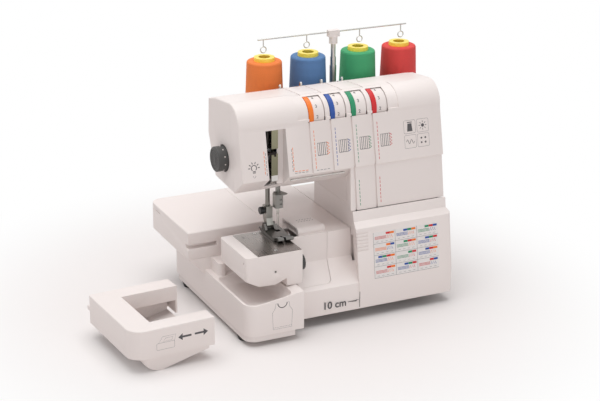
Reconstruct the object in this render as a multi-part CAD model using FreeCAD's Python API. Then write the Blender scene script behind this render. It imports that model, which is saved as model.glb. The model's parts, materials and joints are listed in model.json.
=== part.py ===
"""Four-thread overlock machine with its extension table taken off. Millimetres, +Z up, floor at z 0.

The pieces are drawn in the needle's frame: x to the right, y to the back, the needles at x 0, y 0.
At the end they all move together, so that the origin is the middle of the whole set on the floor.
"""
import FreeCAD, Part
import math
import os

# Fits and walls
RUN_FIT = 0.05
SEAT_GAP = 0.02
SEAM = 0.3
CLEARANCE = 1.5
WALL = 3.0
TABLE_WALL = 2.5

# Heights
FOOT_HEIGHT = 7.5
PLATE_HEIGHT = 7.5
PLATE_FLOOR = 3.0
BED_TOP = 113.0
SLAB_THICKNESS = 38.0
RIM_LOW = 57.5
RIM_HIGH = 67.0
SPLIT_HEIGHT = 143.0
HEAD_BOTTOM = 179.0
HEAD_TOP = 295.5

# Plan of the base and the table
BASE_LEFT = -83.5
BASE_FRONT = -89.0
BASE_BACK = 158.0
BASE_CORNER = 16.5
REAR_CORNER = 6.0
TROUGH_RIGHT = -4.0
TABLE_LEFT = -107.0
TABLE_FRONT = 49.0
TABLE_BACK = 192.0
TABLE_SEAM = 5.5
TABLE_CORNER = 16.0
TABLE_EDGE = 1.5
TABLE_RIB = 14.0
COLUMN_LEFT = 97.0
BODY_RIGHT = 228.5
PLATE_LIP = 1.0
PLATE_FRONT = -30.0
PLATE_REAR_INSET = 10.0
PLATE_STEP_INSET = 12.0
FOOT_RADIUS = 13.0
FOOT_TAPER = 2.0
FOOT_RIGHT_INSET = 8.0
FRONT_FOOT_Y = -55.0
DISH_RIM = 3.0
DISH_DEPTH = 10.0
DISH_SLOPE = 17.0
DISH_CORNER = 10.0
HAUNCH_FOOT = 52.0
POST_WIDTH = 10.0
POST_CORNER = 5.0
POST_DEPTH = 8.0
GROOVE_LOW = 15.0
GROOVE_HEIGHT = 6.0
GROOVE_DEPTH = 9.0
GROOVE_END = 8.0
NOTCH_DROP = 7.0
NOTCH_DEPTH = 1.3
NOTCH_Y = (152.0, 170.0)

# Free arm and needle plate
ARM_LEFT = -74.0
ARM_RIGHT = 5.0
ARM_FRONT = -65.0
ARM_BACK = 20.0
ARM_EDGE = 5.0
ARM_RIM = 6.0
ARM_END_Z = 81.5
ARM_KEEL_LEFT = (-56.0, 72.2)
ARM_KEEL_RIGHT = (-33.0, 71.5)
ARM_ARCH_Z = 77.5
PEDESTAL_LEFT = -17.0
ARM_FLOOR = 84.0
PLATE_LEFT = -57.0
PLATE_THICK = 1.5
PLATE_INSET = 1.1
PLATE_SIDE = 0.1
PLATE_BACK_INSET = 2.0
PLATE_RIGHT_INSET = 0.5
PLATE_CORNER = 3.0
FRONT_PEEP = (-33.0, 89.0)
PEEP_RADIUS = 1.6
PEEP_DEPTH = 3.0
SIDE_PEEP_Y = -56.5
SIDE_PEEP_HIGH = 104.0
SIDE_PEEP_LOW = 90.0
NEEDLE_PITCH = 2.2
FEED_ROWS = ((-15.0, -14.0, 14.0), (-9.5, -14.0, 14.0), (-5.0, 6.0, 14.0))
FEED_WIDTH = 3.0
FEED_SIDE = 0.5
FEED_SWING = 2.0
FEED_TOOTH = 2.0
FEED_ROOT = 1.2
FEED_TIP = 0.2
FEED_DROP = 3.0
FEED_BAR = 4.0
FEED_CARRIER_Y = (-10.0, 12.0)
KNIFE_X = 8.6
KNIFE_THICK = 2.0
KNIFE_FRONT = -16.0
KNIFE_BACK = -9.0
KNIFE_LOW = 92.0
KNIFE_PROUD = 5.0
KNIFE_ROOM = 9.0
KNIFE_OPENING_BACK = 14.0

# Guard over the loopers, and the loopers
GUARD_LEFT = 22.0
GUARD_RIGHT = 61.0
GUARD_FRONT = -16.0
GUARD_BACK = 34.0
GUARD_HEIGHT = 8.0
GUARD_WALL = 2.0
GUARD_EDGE = 2.0
UPPER_LOOPER_Y = -6.0
UPPER_LOOPER_RISE = 5.0
LOWER_LOOPER_Y = 6.5
LOWER_LOOPER_RISE = 1.0
LOOPER_PIVOT_X = 46.0
LOOPER_PIVOT_Z = 92.0
LOOPER_PIN = 3.0
LOOPER_THICK = 4.0
LOOPER_NEAR = 10.0
LOOPER_TIP = -9.0
LOOPER_POST_Y = (22.0, 34.0)

# Front of the lower body, as distances in front of and heights above the needle point on the floor
BED_FRONT = -22.0
RECESS_CREASE = 75.0
SLANT_FOOT = (-62.0, 51.0)
SKIRT_Y = -64.0
SKIRT_BOTTOM = 15.0
BULGE_LOW = 50.0
SHOULDER = (-54.0, 123.5)
BAND_FOOT = (-43.0, 129.5)
BAND_TOP_Y = -41.0
COVER_LEFT = 88.0
COVER_RIGHT = 231.5
COVER_EDGE = 7.0
PANEL_RIGHT = 61.4
PANEL_CORNER = 9.0
PANEL_LOW_Y = -55.0
PANEL_TAPER = 9.4
SKIN_BACK = 60.0
WALL_LINES = ((10.0, 104.5), (113.0, 98.7), (150.0, 94.1))
WALL_SLOPE = 0.33
FLARE_LOW = 60.0
RIB_COUNT = 6
RIB_PITCH = 4.55
RIB_DEPTH = 0.9
RIB_TOP = 116.0
RIB_RIGHT = 104.0
RIB_REACH = 12.0
RIB_HEIGHT = 2.0
HINGE_Y = -57.0
HINGE_Z = 22.0
HINGE_PIN = 2.0
HINGE_EYE = 1.5
HINGE_SPOTS = (110.0, 205.0)
EAR_WIDTH = 4.0
LUG_GAP = 0.5

# Dials, switch and inlet of the lower body
GRIP_EDGE = 0.8
GRIP_DEPTH = 0.9
WIDTH_DIAL_Y = -40.0
WIDTH_DIAL_Z = 86.0
WIDTH_DIAL_RADIUS = 10.7
WIDTH_DIAL_WIDTH = 10.0
WIDTH_DIAL_PIN = 2.5
WIDTH_DIAL_GAP = 2.0
WIDTH_DIAL_GRIPS = 20
LENGTH_DIAL_Y = 2.0
LENGTH_DIAL_Z = 92.0
LENGTH_DIAL_RADIUS = 14.0
LENGTH_DIAL_WIDTH = 10.5
LENGTH_DIAL_PIN = 3.0
LENGTH_DIAL_GRIPS = 24
INLET_Y = (108.0, 136.0)
INLET_Z = (24.0, 44.0)
INLET_DEPTH = 20.0
INLET_FLANGE = 1.5
INLET_WALL = 3.0
INLET_SIDE = 0.1
INLET_PIN = 1.6
INLET_PIN_SPREAD = 5.0
SWITCH_Y = 122.0
SWITCH_Z = 63.0
SWITCH_PIN = 1.2
SWITCH_PIN_REACH = 1.8
SWITCH_PIVOT_IN = 1.5
SWITCH_HALF = (6.8, 10.0)
SWITCH_GAP = 0.4
ROCKER_BACK = 2.0
ROCKER_PROUD = 3.5
ROCKER_MID = 1.5
ROCKER_TOP = 0.5
ROCKER_BELLY = 3.0
BEZEL = (9.5, 13.0)
BEZEL_EDGE = 2.0
BEZEL_DEPTH = 8.0
HOUSING_INSET = 4.0
HOUSING_CORNER = 8.0
VENT_COUNT = 6
VENT_PITCH = 6.0
VENT_Y = 112.0
VENT_Z = (82.0, 104.0)

# Head and column, side view as (y, z)
HEAD_LEFT = -63.0
HEAD_OVERHANG = 1.0
HEAD_END_EDGE = 2.0
FRONT_LOW = (-31.0, 201.0)
FRONT_HIGH = (-18.0, 264.0)
CROWN_MID = (-11.5, 285.0)
CROWN_TOP = (13.7, HEAD_TOP)
CROWN_BACK = (57.0, 291.0)
REAR_EDGE = (80.0, 284.5)
HEAD_BACK = 82.0
REAR_LOW_Z = 238.0
BELLY_BACK = (59.0, 184.0)
BELLY_FRONT = (-3.0, HEAD_BOTTOM)
SEAM_TOP = (13.5, HEAD_TOP)
SEAM_FOOT = (-3.0, 180.0)
PANEL_FOOT_Y = -38.0
PANEL_TOP = (-29.0, 200.0)
COLUMN_TOP = 235.0
COLUMN_TOP_FRONT = -23.0
COLUMN_TOP_BACK = 60.0
COLUMN_BACK = 90.0
FLARE_FRONT_Y = -37.0
FLARE_BACK_Y = -10.0
BAR_SIDE = 2.0

# Tension dials, axis along X
DIAL_Y = 7.0
DIAL_Z = 270.0
BAND_RADIUS = 22.8
BAND_TURN = 70.0
BAND_TANGENT = 9.4
RING_RADIUS = 23.3
RING_DISH = 4.0
DRUM_RADIUS = 22.2
DRUM_WALL = 2.5
DRUM_EDGE = 1.0
RING_WIDTH = 7.0
DRUM_WIDTH = 15.5
DIAL_FIRST = 36.5
DIAL_PITCH = 30.4
DIAL_COUNT = 4
SPINDLE_RADIUS = 3.0
SPINDLE_RIB = 6.0
DIAL_SIDE = 0.8
OPENING_LOW = 265.8
BAND_LEFT = 20.0
BAND_RIGHT = 166.0
SLOT_WIDTH = 2.4
SLOT_DEPTH = 2.0
TOP_GROOVE = 1.5

# Take-up slot and thread guides
TAKE_UP_LEFT = -26.0
TAKE_UP_RIGHT = 2.0
TAKE_UP_TOP = 262.0
TAKE_UP_X = -20.0
TAKE_UP_Y = 30.0
TAKE_UP_Z = 232.0
TAKE_UP_PIN = 2.5
TAKE_UP_HALF = 3.0
TAKE_UP_REACH = 10.0
TAKE_UP_TIP = -20.0
LINING = 1.2
LINING_BACK = -9.8
STRIP_LEFT = -16.0
STRIP_WIDTH = 9.0
STRIP_GAP = (229.0, 236.0)
STRIP_THICK = 1.5
STRIP_INSET = 10.0
CLIP_Y = 68.0
CLIP_LENGTH = 9.0
CLIP_WIDTH = 10.0
CLIP_THICK = 0.8
CLIP_RISE = 4.0
CLIP_POST = 1.2
RAIL_RADIUS = 0.9
RAIL_INSET = 6.0
RAIL_END = 4.0

# Pressure dial on the left end of the head
PRESSURE_Y = 30.0
PRESSURE_Z = 217.0
PRESSURE_RADIUS = 16.5
PRESSURE_RECESS = 18.0
PRESSURE_OUT = 13.0
PRESSURE_PIN = 4.0
PRESSURE_CUP = 9.0
CUP_WALL = 2.0
KNOB_EDGE = 1.5
KNOB_RING = 1.0
KNOB_RINGS = (5.0, 8.5, 12.0)

# Frame, shaft, motor and belt
SOLE_HALF = 14.0
SOLE_THICK = 12.0
FRAME_COLUMN_X = (150.0, 184.0)
FRAME_COLUMN_Y = 26.0
BEAM_LEFT = -46.0
BEAM_Y = (52.0, 62.0)
BEAM_Z = (202.0, 232.0)
BOSS_LOW = 200.0
BOSS_WALL = 6.0
WEB_HALF = 5.0
WEB_HEIGHT = 12.0
SHAFT_Y = 60.0
SHAFT_Z = 66.0
SHAFT_RADIUS = 6.0
SHAFT_END = 14.0
ECCENTRIC = 4.0
PULLEY_RADIUS = 26.0
PULLEY_TEETH = 32
PULLEY_GROOVE = 0.8
FLANGE = 1.2
MOTOR_Y = 112.0
MOTOR_Z = 50.0
MOTOR_RADIUS = 27.0
MOTOR_LEFT = 108.0
MOTOR_RIGHT = 188.0
MOTOR_SHAFT = 3.0
MOTOR_PULLEY = 9.0
MOTOR_TEETH = 11
CRADLE_INSET = 10.0
BUSH_SPOTS = (40.0, 205.0)
BUSH_LENGTH = 10.0
BUSH_WALL = 3.0
BELT_LEFT = 194.0
BELT_WIDTH = 8.0
BELT_THICK = 1.6
WHEEL_RADIUS = 44.0
WHEEL_WIDTH = 18.0
WHEEL_GAP = 1.5
WHEEL_DISH = 5.0
WHEEL_RIM = 6.0
FLUTE_COUNT = 18
FLUTE_RADIUS = 4.0

# Needle and presser
BAR_RADIUS = 3.2
NEEDLE_BAR_TOP = 252.0
FAN_NECK = 5.0
FAN_WING = 9.0
FAN_THICK = 1.2
CLAMP_BOTTOM = 150.0
CLAMP_HEIGHT = 19.0
CLAMP_HALF = 5.5
CLAMP_FLOOR = 2.0
CLAMP_EDGE = 1.5
CLAMP_SCREWS = (0.3, 0.62)
SCREW_HOLE = 1.3
SCREW_X = 1.75
NEEDLE_TIP = 121.0
NEEDLE_SHANK = 0.9
NEEDLE_BLADE = 0.5
SHANK_LENGTH = 8.0
PRESSER_X = -7.0
PRESSER_Y = 17.0
PRESSER_RADIUS = 3.0
PRESSER_BAR_TOP = 262.0
PRESSER_LIFT = 6.2
COLLAR_TOP = 206.0
COLLAR_HEIGHT = 10.0
HOLDER_TOP = 148.0
HOLDER_HALF = 4.5
HOLDER_GRIP = 12.0
THUMB_RADIUS = 5.0
THUMB_WIDTH = 7.0
THUMB_GRIPS = 14
FOOT_PIVOT_Y = 13.0
FOOT_PIVOT_Z = 123.0
FOOT_PIN = 1.5
FOOT_TOE_Y = -33.0
FOOT_HEEL_Y = 22.0
FOOT_LEFT = -17.0
FOOT_SOLE = 3.0
FOOT_GAP_X = (-6.0, -3.0)
CHEEK_GAP = 0.5
LIFTER_X = -20.0
LIFTER_Y = 36.0
LIFTER_Z = 206.0
LIFTER_PIN = 3.0
LIFTER_HALF = 4.0
LIFTER_SLOT = 7.0
LIFTER_SLOT_Z = (188.0, 232.0)
LIFTER_ARM_RISE = 15.0
LIFTER_BEND = (86.0, 190.0)
LIFTER_TIP = (104.0, 184.0)
LIFTER_THICK = 5.0
LIFTER_PAD = 6.0

# Spool stand, cones and guide pole
STAND_Z = 200.0
STAND_THICK = 6.0
STAND_SIDE = 34.0
STAND_BACK = 36.0
STAND_CORNER = 14.0
GUSSET_INSET = 20.0
GUSSET_DEPTH = 40.0
SPOOL_Y = 115.0
SPOOL_X = (33.0, 98.0, 174.0, 238.0)
SPOOL_PIN = 3.0
SEAT_RIM = 4.0
SEAT_THICK = 2.0
PIN_DROP = 14.0
HOLDER_DROP = 10.0
CONE_HEIGHT = 112.0
CONE_TOP = 23.7
CONE_FOOT = 27.5
CONE_BARE = 5.0
CONE_EDGE = 3.0
CORE_TOP = 14.0
CORE_FOOT = 19.0
CORE_HOLE = 8.0
CORE_WALL = 2.0
CORE_SIDE = 1.5
POLE_X = 136.0
POLE_RADII = (4.7, 4.0, 3.3)
POLE_TUBE = 0.65
POLE_TOPS = (297.0, 309.0, 336.0)
POLE_STEP = 4.0
POLE_SINK = 12.0
POLE_BOSS = 5.0
CAP_GRIP = 8.0
CAP_WALL = 2.5
CAP_HALF = 8.0
GUIDE_RISE = 8.0
GUIDE_LENGTH = 225.0
GUIDE_WIRE = 1.0
LOOP_RADIUS = 4.1
LOOP_WIRE = 0.75
EYE_DROP = 14.0
EYE_SHARES = (-1.0, -0.385, 0.385, 1.0)

# Extension table, standing on the floor beside the machine
TRAY_X = -242.2
TRAY_Y = -102.5
TRAY_TURN = 3.6
TRAY_TOP = 58.0
TRAY_LENGTH = 112.0
TRAY_SIDE = 34.0
TRAY_GAP = 1.0
TRAY_CORNER = 20.0
TRAY_REAR_CORNER = 4.0
TRAY_RIM = 20.0
HOPPER_WALL = 4.0
HOPPER_FRONT = 4.0
HOPPER_LEFT = 14.0
HOPPER_ROUND = 7.5
HOPPER_NOSE = 37.0
HOPPER_LIP = 5.0
HOPPER_END = 6.0
HOPPER_CORNER = 10.0
TONGUE_THICK = 5.0
TONGUE_OUT = 7.0
TONGUE_INSET = 1.0


def at(x, y, z):
    return FreeCAD.Vector(x, y, z)


PLANES = {
    "x": lambda a, b: at(0, a, b),
    "y": lambda a, b: at(a, 0, b),
    "z": lambda a, b: at(a, b, 0),
}
NORMALS = {"x": at(1, 0, 0), "y": at(0, 1, 0), "z": at(0, 0, 1)}


def box(x0, x1, y0, y1, z0, z1):
    return Part.makeBox(x1 - x0, y1 - y0, z1 - z0, at(x0, y0, z0))


def rod_x(y, z, radius, x0, x1):
    return Part.makeCylinder(radius, x1 - x0, at(x0, y, z), NORMALS["x"])


def rod_y(x, z, radius, y0, y1):
    return Part.makeCylinder(radius, y1 - y0, at(x, y0, z), NORMALS["y"])


def rod_z(x, y, radius, z0, z1):
    return Part.makeCylinder(radius, z1 - z0, at(x, y, z0), NORMALS["z"])


def cone_z(x, y, low_radius, high_radius, z0, z1):
    return Part.makeCone(low_radius, high_radius, z1 - z0, at(x, y, z0), NORMALS["z"])


def outline(plane, steps):
    """Face inside a closed line on a plane: each step is a point, or a pair of points for an arc."""
    place = PLANES[plane]
    here = steps[0]
    edges = []
    for step in steps[1:] + [steps[0]]:
        if isinstance(step[0], tuple):
            through, step = step
            edges.append(Part.Arc(place(*here), place(*through), place(*step)).toShape())
        elif step != here:
            edges.append(Part.makeLine(place(*here), place(*step)))
        here = step
    return Part.Face(Part.Wire(edges))


def sweep_face(face, plane, low, high):
    """Solid from a face on a plane through the origin, from low to high along the plane's normal."""
    face = face.copy()
    face.translate(NORMALS[plane] * low)
    solid = face.extrude(NORMALS[plane] * (high - low))
    if solid.Volume < 0:
        solid.reverse()
    return solid


def prism(plane, steps, low, high):
    return sweep_face(outline(plane, steps), plane, low, high)


def soften(shape, radius, test):
    """Fillet the edges whose bounding box passes the test."""
    picked = [edge for edge in shape.Edges if test(edge.BoundBox)]
    return shape.makeFillet(radius, picked)


def upright_at(x, y):
    """Test for an upright edge that stands at x, y."""
    return lambda b: b.ZLength > 1 and abs(b.XMin - x) + abs(b.YMin - y) + b.XLength + b.YLength < 0.01


def fuse(shapes):
    whole = shapes[0]
    for shape in shapes[1:]:
        whole = whole.fuse(shape)
    return whole.removeSplitter()


def cut(shape, tools):
    for tool in tools:
        shape = shape.cut(tool)
    return shape


def lean(low, high, z):
    """The y of the straight line through two (y, z) points, at a height."""
    return low[0] + (high[0] - low[0]) * (z - low[1]) / (high[1] - low[1])


SLAB_BOTTOM = BED_TOP - SLAB_THICKNESS
PLATE_TOP = FOOT_HEIGHT + PLATE_HEIGHT
FLOOR_TOP = FOOT_HEIGHT + PLATE_FLOOR
COVER_BACK = PLATE_FRONT - SEAM
RECESS_FRONT = [(BED_FRONT, BED_TOP), (BED_FRONT, RECESS_CREASE), SLANT_FOOT]
BULGE_FRONT = [(BAND_TOP_Y, SPLIT_HEIGHT - SEAM), BAND_FOOT, SHOULDER, (SKIRT_Y, BULGE_LOW),
               (SKIRT_Y, SKIRT_BOTTOM)]
DIAL_LEFTS = [DIAL_FIRST + DIAL_PITCH * i for i in range(DIAL_COUNT)]
STAND_TOP = STAND_Z + STAND_THICK
CONE_SEAT = STAND_TOP + SEAT_THICK + SEAM
POLE_FOOT = STAND_Z - POLE_SINK
GUIDE_Z = POLE_TOPS[-1] + GUIDE_RISE
TRAY_WIDTH = TABLE_FRONT - TRAY_GAP - BASE_FRONT
TRAY_FRONT_BAR = ARM_FRONT - TRAY_GAP - BASE_FRONT
TRAY_BACK_BAR = TABLE_FRONT - ARM_BACK - 2 * TRAY_GAP


def foot_spots():
    """Centres of the four feet."""
    inset = FOOT_RADIUS + 1
    left = BASE_LEFT + inset
    right = BODY_RIGHT - inset - FOOT_RIGHT_INSET
    back = BASE_BACK - PLATE_REAR_INSET - inset
    return [(left, FRONT_FOOT_Y), (left, back), (right, PLATE_FRONT + inset + FOOT_TAPER), (right, back)]


def plate_outline(inset):
    """Corners of the bottom tray, moved inwards."""
    left = BASE_LEFT + PLATE_LIP + inset
    front = BASE_FRONT + PLATE_LIP + inset
    right = BODY_RIGHT - PLATE_LIP - inset
    back = BASE_BACK - PLATE_REAR_INSET - inset
    step = TROUGH_RIGHT - PLATE_STEP_INSET - inset
    inner = PLATE_FRONT + inset
    return [(left, front), (step, front), (step, inner), (right, inner), (right, back), (left, back)]


def base_plate():
    """Bottom tray of the machine, with the two ears that the front cover hinges on."""
    corners = plate_outline(0)
    plate = prism("z", corners, FOOT_HEIGHT, PLATE_TOP)
    plate = soften(plate, BASE_CORNER - PLATE_LIP, upright_at(*corners[0]))
    well = plate_outline(WALL)
    pocket = prism("z", well, FLOOR_TOP, PLATE_TOP + 1)
    pocket = soften(pocket, BASE_CORNER - PLATE_LIP - WALL, upright_at(*well[0]))
    plate = plate.cut(pocket)
    ear_radius = HINGE_PIN + HINGE_EYE
    ear_low, ear_high = HINGE_Z - ear_radius, HINGE_Z + ear_radius
    ear_back = PLATE_FRONT + WALL
    for x in HINGE_SPOTS:
        end = x + EAR_WIDTH
        arm = box(x, end, HINGE_Y, ear_back, ear_low, ear_high)
        stem = box(x, end, PLATE_FRONT - EAR_WIDTH, ear_back, FLOOR_TOP, ear_high)
        eye = rod_x(HINGE_Y, HINGE_Z, ear_radius, x, end)
        pin = rod_x(HINGE_Y, HINGE_Z, HINGE_PIN, end - 1, end + EAR_WIDTH + 1)
        plate = fuse([plate, arm, stem, eye, pin])
    return plate


def rubber_feet():
    """Four tapered rubber feet under the corners of the plate."""
    return [cone_z(x, y, FOOT_RADIUS - FOOT_TAPER, FOOT_RADIUS, 0, FOOT_HEIGHT) for x, y in foot_spots()]


def dish_loop(inset, z):
    """Level loop round the trough's dish, moved inwards."""
    right = PEDESTAL_LEFT - inset / 2
    return rounded_loop(BASE_LEFT + inset, right, BASE_FRONT + inset, ARM_BACK - inset / 2, DISH_CORNER, z)


def trough_dish():
    """Shallow dish sunk in the trough, with a wide soft slope."""
    floor = RIM_LOW - DISH_DEPTH
    loops = [dish_loop(DISH_RIM, RIM_HIGH + 1), dish_loop(DISH_RIM + 1, RIM_LOW - 1),
             dish_loop(DISH_RIM + DISH_SLOPE / 2, RIM_LOW - 0.7 * DISH_DEPTH),
             dish_loop(DISH_RIM + DISH_SLOPE, floor)]
    return Part.makeLoft(loops, True, False)


def table_haunch():
    """Hollow sloping haunch under the overhang of the rear table."""
    rise = SLAB_BOTTOM - HAUNCH_FOOT
    back = BASE_BACK - REAR_CORNER
    outer = prism("y", [(TABLE_LEFT, SLAB_BOTTOM), (BASE_LEFT + 1, SLAB_BOTTOM), (BASE_LEFT + 1, HAUNCH_FOOT),
                        (BASE_LEFT, HAUNCH_FOOT)], TABLE_FRONT, back)
    inset = 2 * WALL
    inner = prism("y", [(TABLE_LEFT + inset, SLAB_BOTTOM + 1), (BASE_LEFT, SLAB_BOTTOM + 1),
                        (BASE_LEFT, SLAB_BOTTOM - rise + inset)], TABLE_FRONT + WALL, back - WALL)
    return outer.cut(inner)


def base_shell():
    """Left lower body: the trough in front, and the box that carries the rear table."""
    block = box(BASE_LEFT, TROUGH_RIGHT, BASE_FRONT, TABLE_FRONT, PLATE_TOP, SLAB_BOTTOM)
    block = soften(block, BASE_CORNER, upright_at(BASE_LEFT, BASE_FRONT))
    above = [(BASE_LEFT - 1, RIM_LOW), (BASE_LEFT + BASE_CORNER, RIM_LOW), (TROUGH_RIGHT + 1, RIM_HIGH),
             (TROUGH_RIGHT + 1, SLAB_BOTTOM + 1), (BASE_LEFT - 1, SLAB_BOTTOM + 1)]
    block = block.cut(prism("y", above, BASE_FRONT - 1, TABLE_FRONT + 1))
    floor = RIM_LOW - DISH_DEPTH - WALL
    right = TABLE_SEAM - SEAM
    top = SLAB_BOTTOM - SEAM
    post = box(ARM_LEFT - 1, ARM_LEFT + POST_WIDTH, ARM_BACK, TABLE_FRONT, floor, top)
    post = soften(post, POST_CORNER, upright_at(ARM_LEFT - 1, ARM_BACK))
    post = soften(post, POST_CORNER, upright_at(ARM_LEFT + POST_WIDTH, ARM_BACK))
    pillar = box(ARM_LEFT, right, ARM_BACK + POST_DEPTH, TABLE_FRONT, floor, top)
    rear = box(BASE_LEFT, right, TABLE_FRONT, BASE_BACK, PLATE_TOP, SLAB_BOTTOM)
    rear = soften(rear, REAR_CORNER, upright_at(BASE_LEFT, BASE_BACK))
    body = fuse([block.cut(trough_dish()), post, pillar, rear])
    inner_left = BASE_LEFT + WALL
    hollow = box(inner_left, TROUGH_RIGHT - WALL, BASE_FRONT + BASE_CORNER, TABLE_FRONT, PLATE_TOP - 1, floor)
    inside = box(inner_left, TABLE_SEAM, TABLE_FRONT + WALL, BASE_BACK - WALL, PLATE_TOP - 1, SLAB_BOTTOM + 1)
    neck = box(inner_left, TROUGH_RIGHT - WALL, TABLE_FRONT - 1, TABLE_FRONT + WALL + 1, PLATE_TOP - 1, floor)
    return fuse([cut(body, [hollow, inside, neck]), table_haunch()])


def rounded_loop(x0, x1, y0, y1, radius, z):
    """Closed wire: a level rectangle with round corners."""
    slab = box(x0, x1, y0, y1, z, z + 1)
    slab = soften(slab, radius, lambda b: b.ZLength > 0.5 and b.XLength + b.YLength < 0.01)
    low = [face for face in slab.Faces if face.BoundBox.ZLength < 0.01 and abs(face.BoundBox.ZMin - z) < 0.01]
    return low[0].OuterWire


def rear_table():
    """Slab behind the free arm, hollow from below, with the groove for the extension table's tongue."""
    right = TABLE_SEAM - SEAM
    slab = box(TABLE_LEFT, right, TABLE_FRONT, TABLE_BACK, SLAB_BOTTOM, BED_TOP)
    slab = soften(slab, TABLE_CORNER, upright_at(TABLE_LEFT, TABLE_BACK))
    slab = soften(slab, TABLE_EDGE, lambda b: abs(b.ZMin - BED_TOP) + b.ZLength < 0.01
                  and b.XMin < right - 0.1)
    inner_left = TABLE_LEFT + TABLE_WALL
    inner_back = TABLE_BACK - TABLE_WALL
    hollow = box(inner_left, right - TABLE_WALL, TABLE_FRONT + TABLE_RIB, inner_back, SLAB_BOTTOM - 1,
                 BED_TOP - TABLE_WALL)
    hollow = soften(hollow, TABLE_CORNER - TABLE_WALL, upright_at(inner_left, inner_back))
    groove_low = SLAB_BOTTOM + GROOVE_LOW
    groove = box(TABLE_LEFT - 1, ARM_LEFT + GROOVE_END, TABLE_FRONT - 1, TABLE_FRONT + GROOVE_DEPTH,
                 groove_low, groove_low + GROOVE_HEIGHT)
    notch_high = BED_TOP - NOTCH_DROP
    notch = box(TABLE_LEFT - 1, TABLE_LEFT + NOTCH_DEPTH, *NOTCH_Y, notch_high - NOTCH_DEPTH, notch_high)
    return cut(slab, [hollow, groove, notch])


def bed_cover():
    """Bed surface between the table seam and the column, with the knife opening beside the arm."""
    left = TABLE_SEAM
    right = COLUMN_LEFT - SEAM
    front = BED_FRONT + WALL + SEAM
    low = RECESS_CREASE
    cover = box(left, right, front, TABLE_BACK, low, BED_TOP)
    hollow = box(left + TABLE_WALL, right - TABLE_WALL, front + TABLE_WALL, TABLE_BACK - TABLE_WALL, low - 1,
                 BED_TOP - TABLE_WALL)
    knife_opening = box(left - 1, GUARD_LEFT, front - 1, KNIFE_OPENING_BACK, KNIFE_LOW - KNIFE_ROOM,
                        BED_TOP + 1)
    looper_window = box(left - 1, left + TABLE_WALL + 1, front + TABLE_WALL, ARM_BACK - WALL, low - 1,
                        BED_TOP - ARM_RIM)
    return cut(cover, [hollow, knife_opening, looper_window])


def looper_guard():
    """Low cover on the bed with a round nose, right of the foot, open towards the knives."""
    top = BED_TOP + GUARD_HEIGHT
    round_back = GUARD_FRONT + GUARD_HEIGHT
    nose = (GUARD_FRONT + 0.2 * GUARD_HEIGHT, BED_TOP + 0.75 * GUARD_HEIGHT)
    outer = prism("x", [(GUARD_FRONT, BED_TOP), (nose, (round_back, top)), (GUARD_BACK - GUARD_WALL, top),
                        (GUARD_BACK, top - GUARD_WALL), (GUARD_BACK, BED_TOP)], GUARD_LEFT, GUARD_RIGHT)
    outer = soften(outer, GUARD_EDGE, lambda b: abs(b.XMin - GUARD_RIGHT) + b.XLength < 0.01
                   and b.ZMin > BED_TOP + 1)
    thick = 2 * GUARD_WALL
    inner = prism("x", [(GUARD_FRONT + thick, BED_TOP), (round_back, top - GUARD_WALL),
                        (GUARD_BACK - thick, top - GUARD_WALL), (GUARD_BACK - thick, BED_TOP)],
                  GUARD_LEFT - 1, GUARD_RIGHT - thick)
    return outer.cut(inner)


def free_arm():
    """Free arm: boat-shaped underside, a pedestal at the right, hollow for the loopers."""
    seat = RIM_HIGH + SEAM
    face = [(ARM_LEFT, BED_TOP), (ARM_LEFT, ARM_END_Z), ARM_KEEL_LEFT, ARM_KEEL_RIGHT,
            (PEDESTAL_LEFT - 1, ARM_ARCH_Z), (PEDESTAL_LEFT, ARM_ARCH_Z - 1), (PEDESTAL_LEFT, seat),
            (ARM_RIGHT, seat), (ARM_RIGHT, BED_TOP)]
    arm = prism("y", face, ARM_FRONT, ARM_BACK)
    arm = soften(arm, ARM_EDGE, upright_at(ARM_LEFT, ARM_FRONT))
    arm = soften(arm, ARM_EDGE, upright_at(ARM_LEFT, ARM_BACK))
    top = BED_TOP - PLATE_THICK
    seat_front = ARM_FRONT + PLATE_INSET - PLATE_SIDE
    seat_back = ARM_BACK - PLATE_BACK_INSET + PLATE_SIDE
    seat_pocket = box(PLATE_LEFT - PLATE_SIDE, ARM_RIGHT + 1, seat_front, seat_back, top, BED_TOP + 1)
    hollow = box(PLATE_LEFT + WALL + 1, ARM_RIGHT - WALL, ARM_FRONT + WALL + 2, ARM_BACK - WALL,
                 ARM_FLOOR, top + 1)
    wall_in, wall_out = ARM_RIGHT - WALL - 1, ARM_RIGHT + 1
    window = box(wall_in, wall_out, BED_FRONT + 2 * WALL, ARM_BACK - WALL, ARM_FLOOR, BED_TOP - ARM_RIM)
    dial_hole = rod_x(WIDTH_DIAL_Y, WIDTH_DIAL_Z, WIDTH_DIAL_PIN + RUN_FIT, wall_in, wall_out)
    peep_front = rod_y(*FRONT_PEEP, PEEP_RADIUS, ARM_FRONT - 1, ARM_FRONT + PEEP_DEPTH)
    peep_side = rod_x(SIDE_PEEP_Y, SIDE_PEEP_HIGH, PEEP_RADIUS, ARM_LEFT - 1, ARM_LEFT + PEEP_DEPTH)
    peep_low = rod_x(SIDE_PEEP_Y, SIDE_PEEP_LOW, PEEP_RADIUS / 2, ARM_LEFT - 1, ARM_LEFT + PEEP_DEPTH)
    return cut(arm, [seat_pocket, hollow, window, dial_hole, peep_front, peep_side, peep_low])


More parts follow.
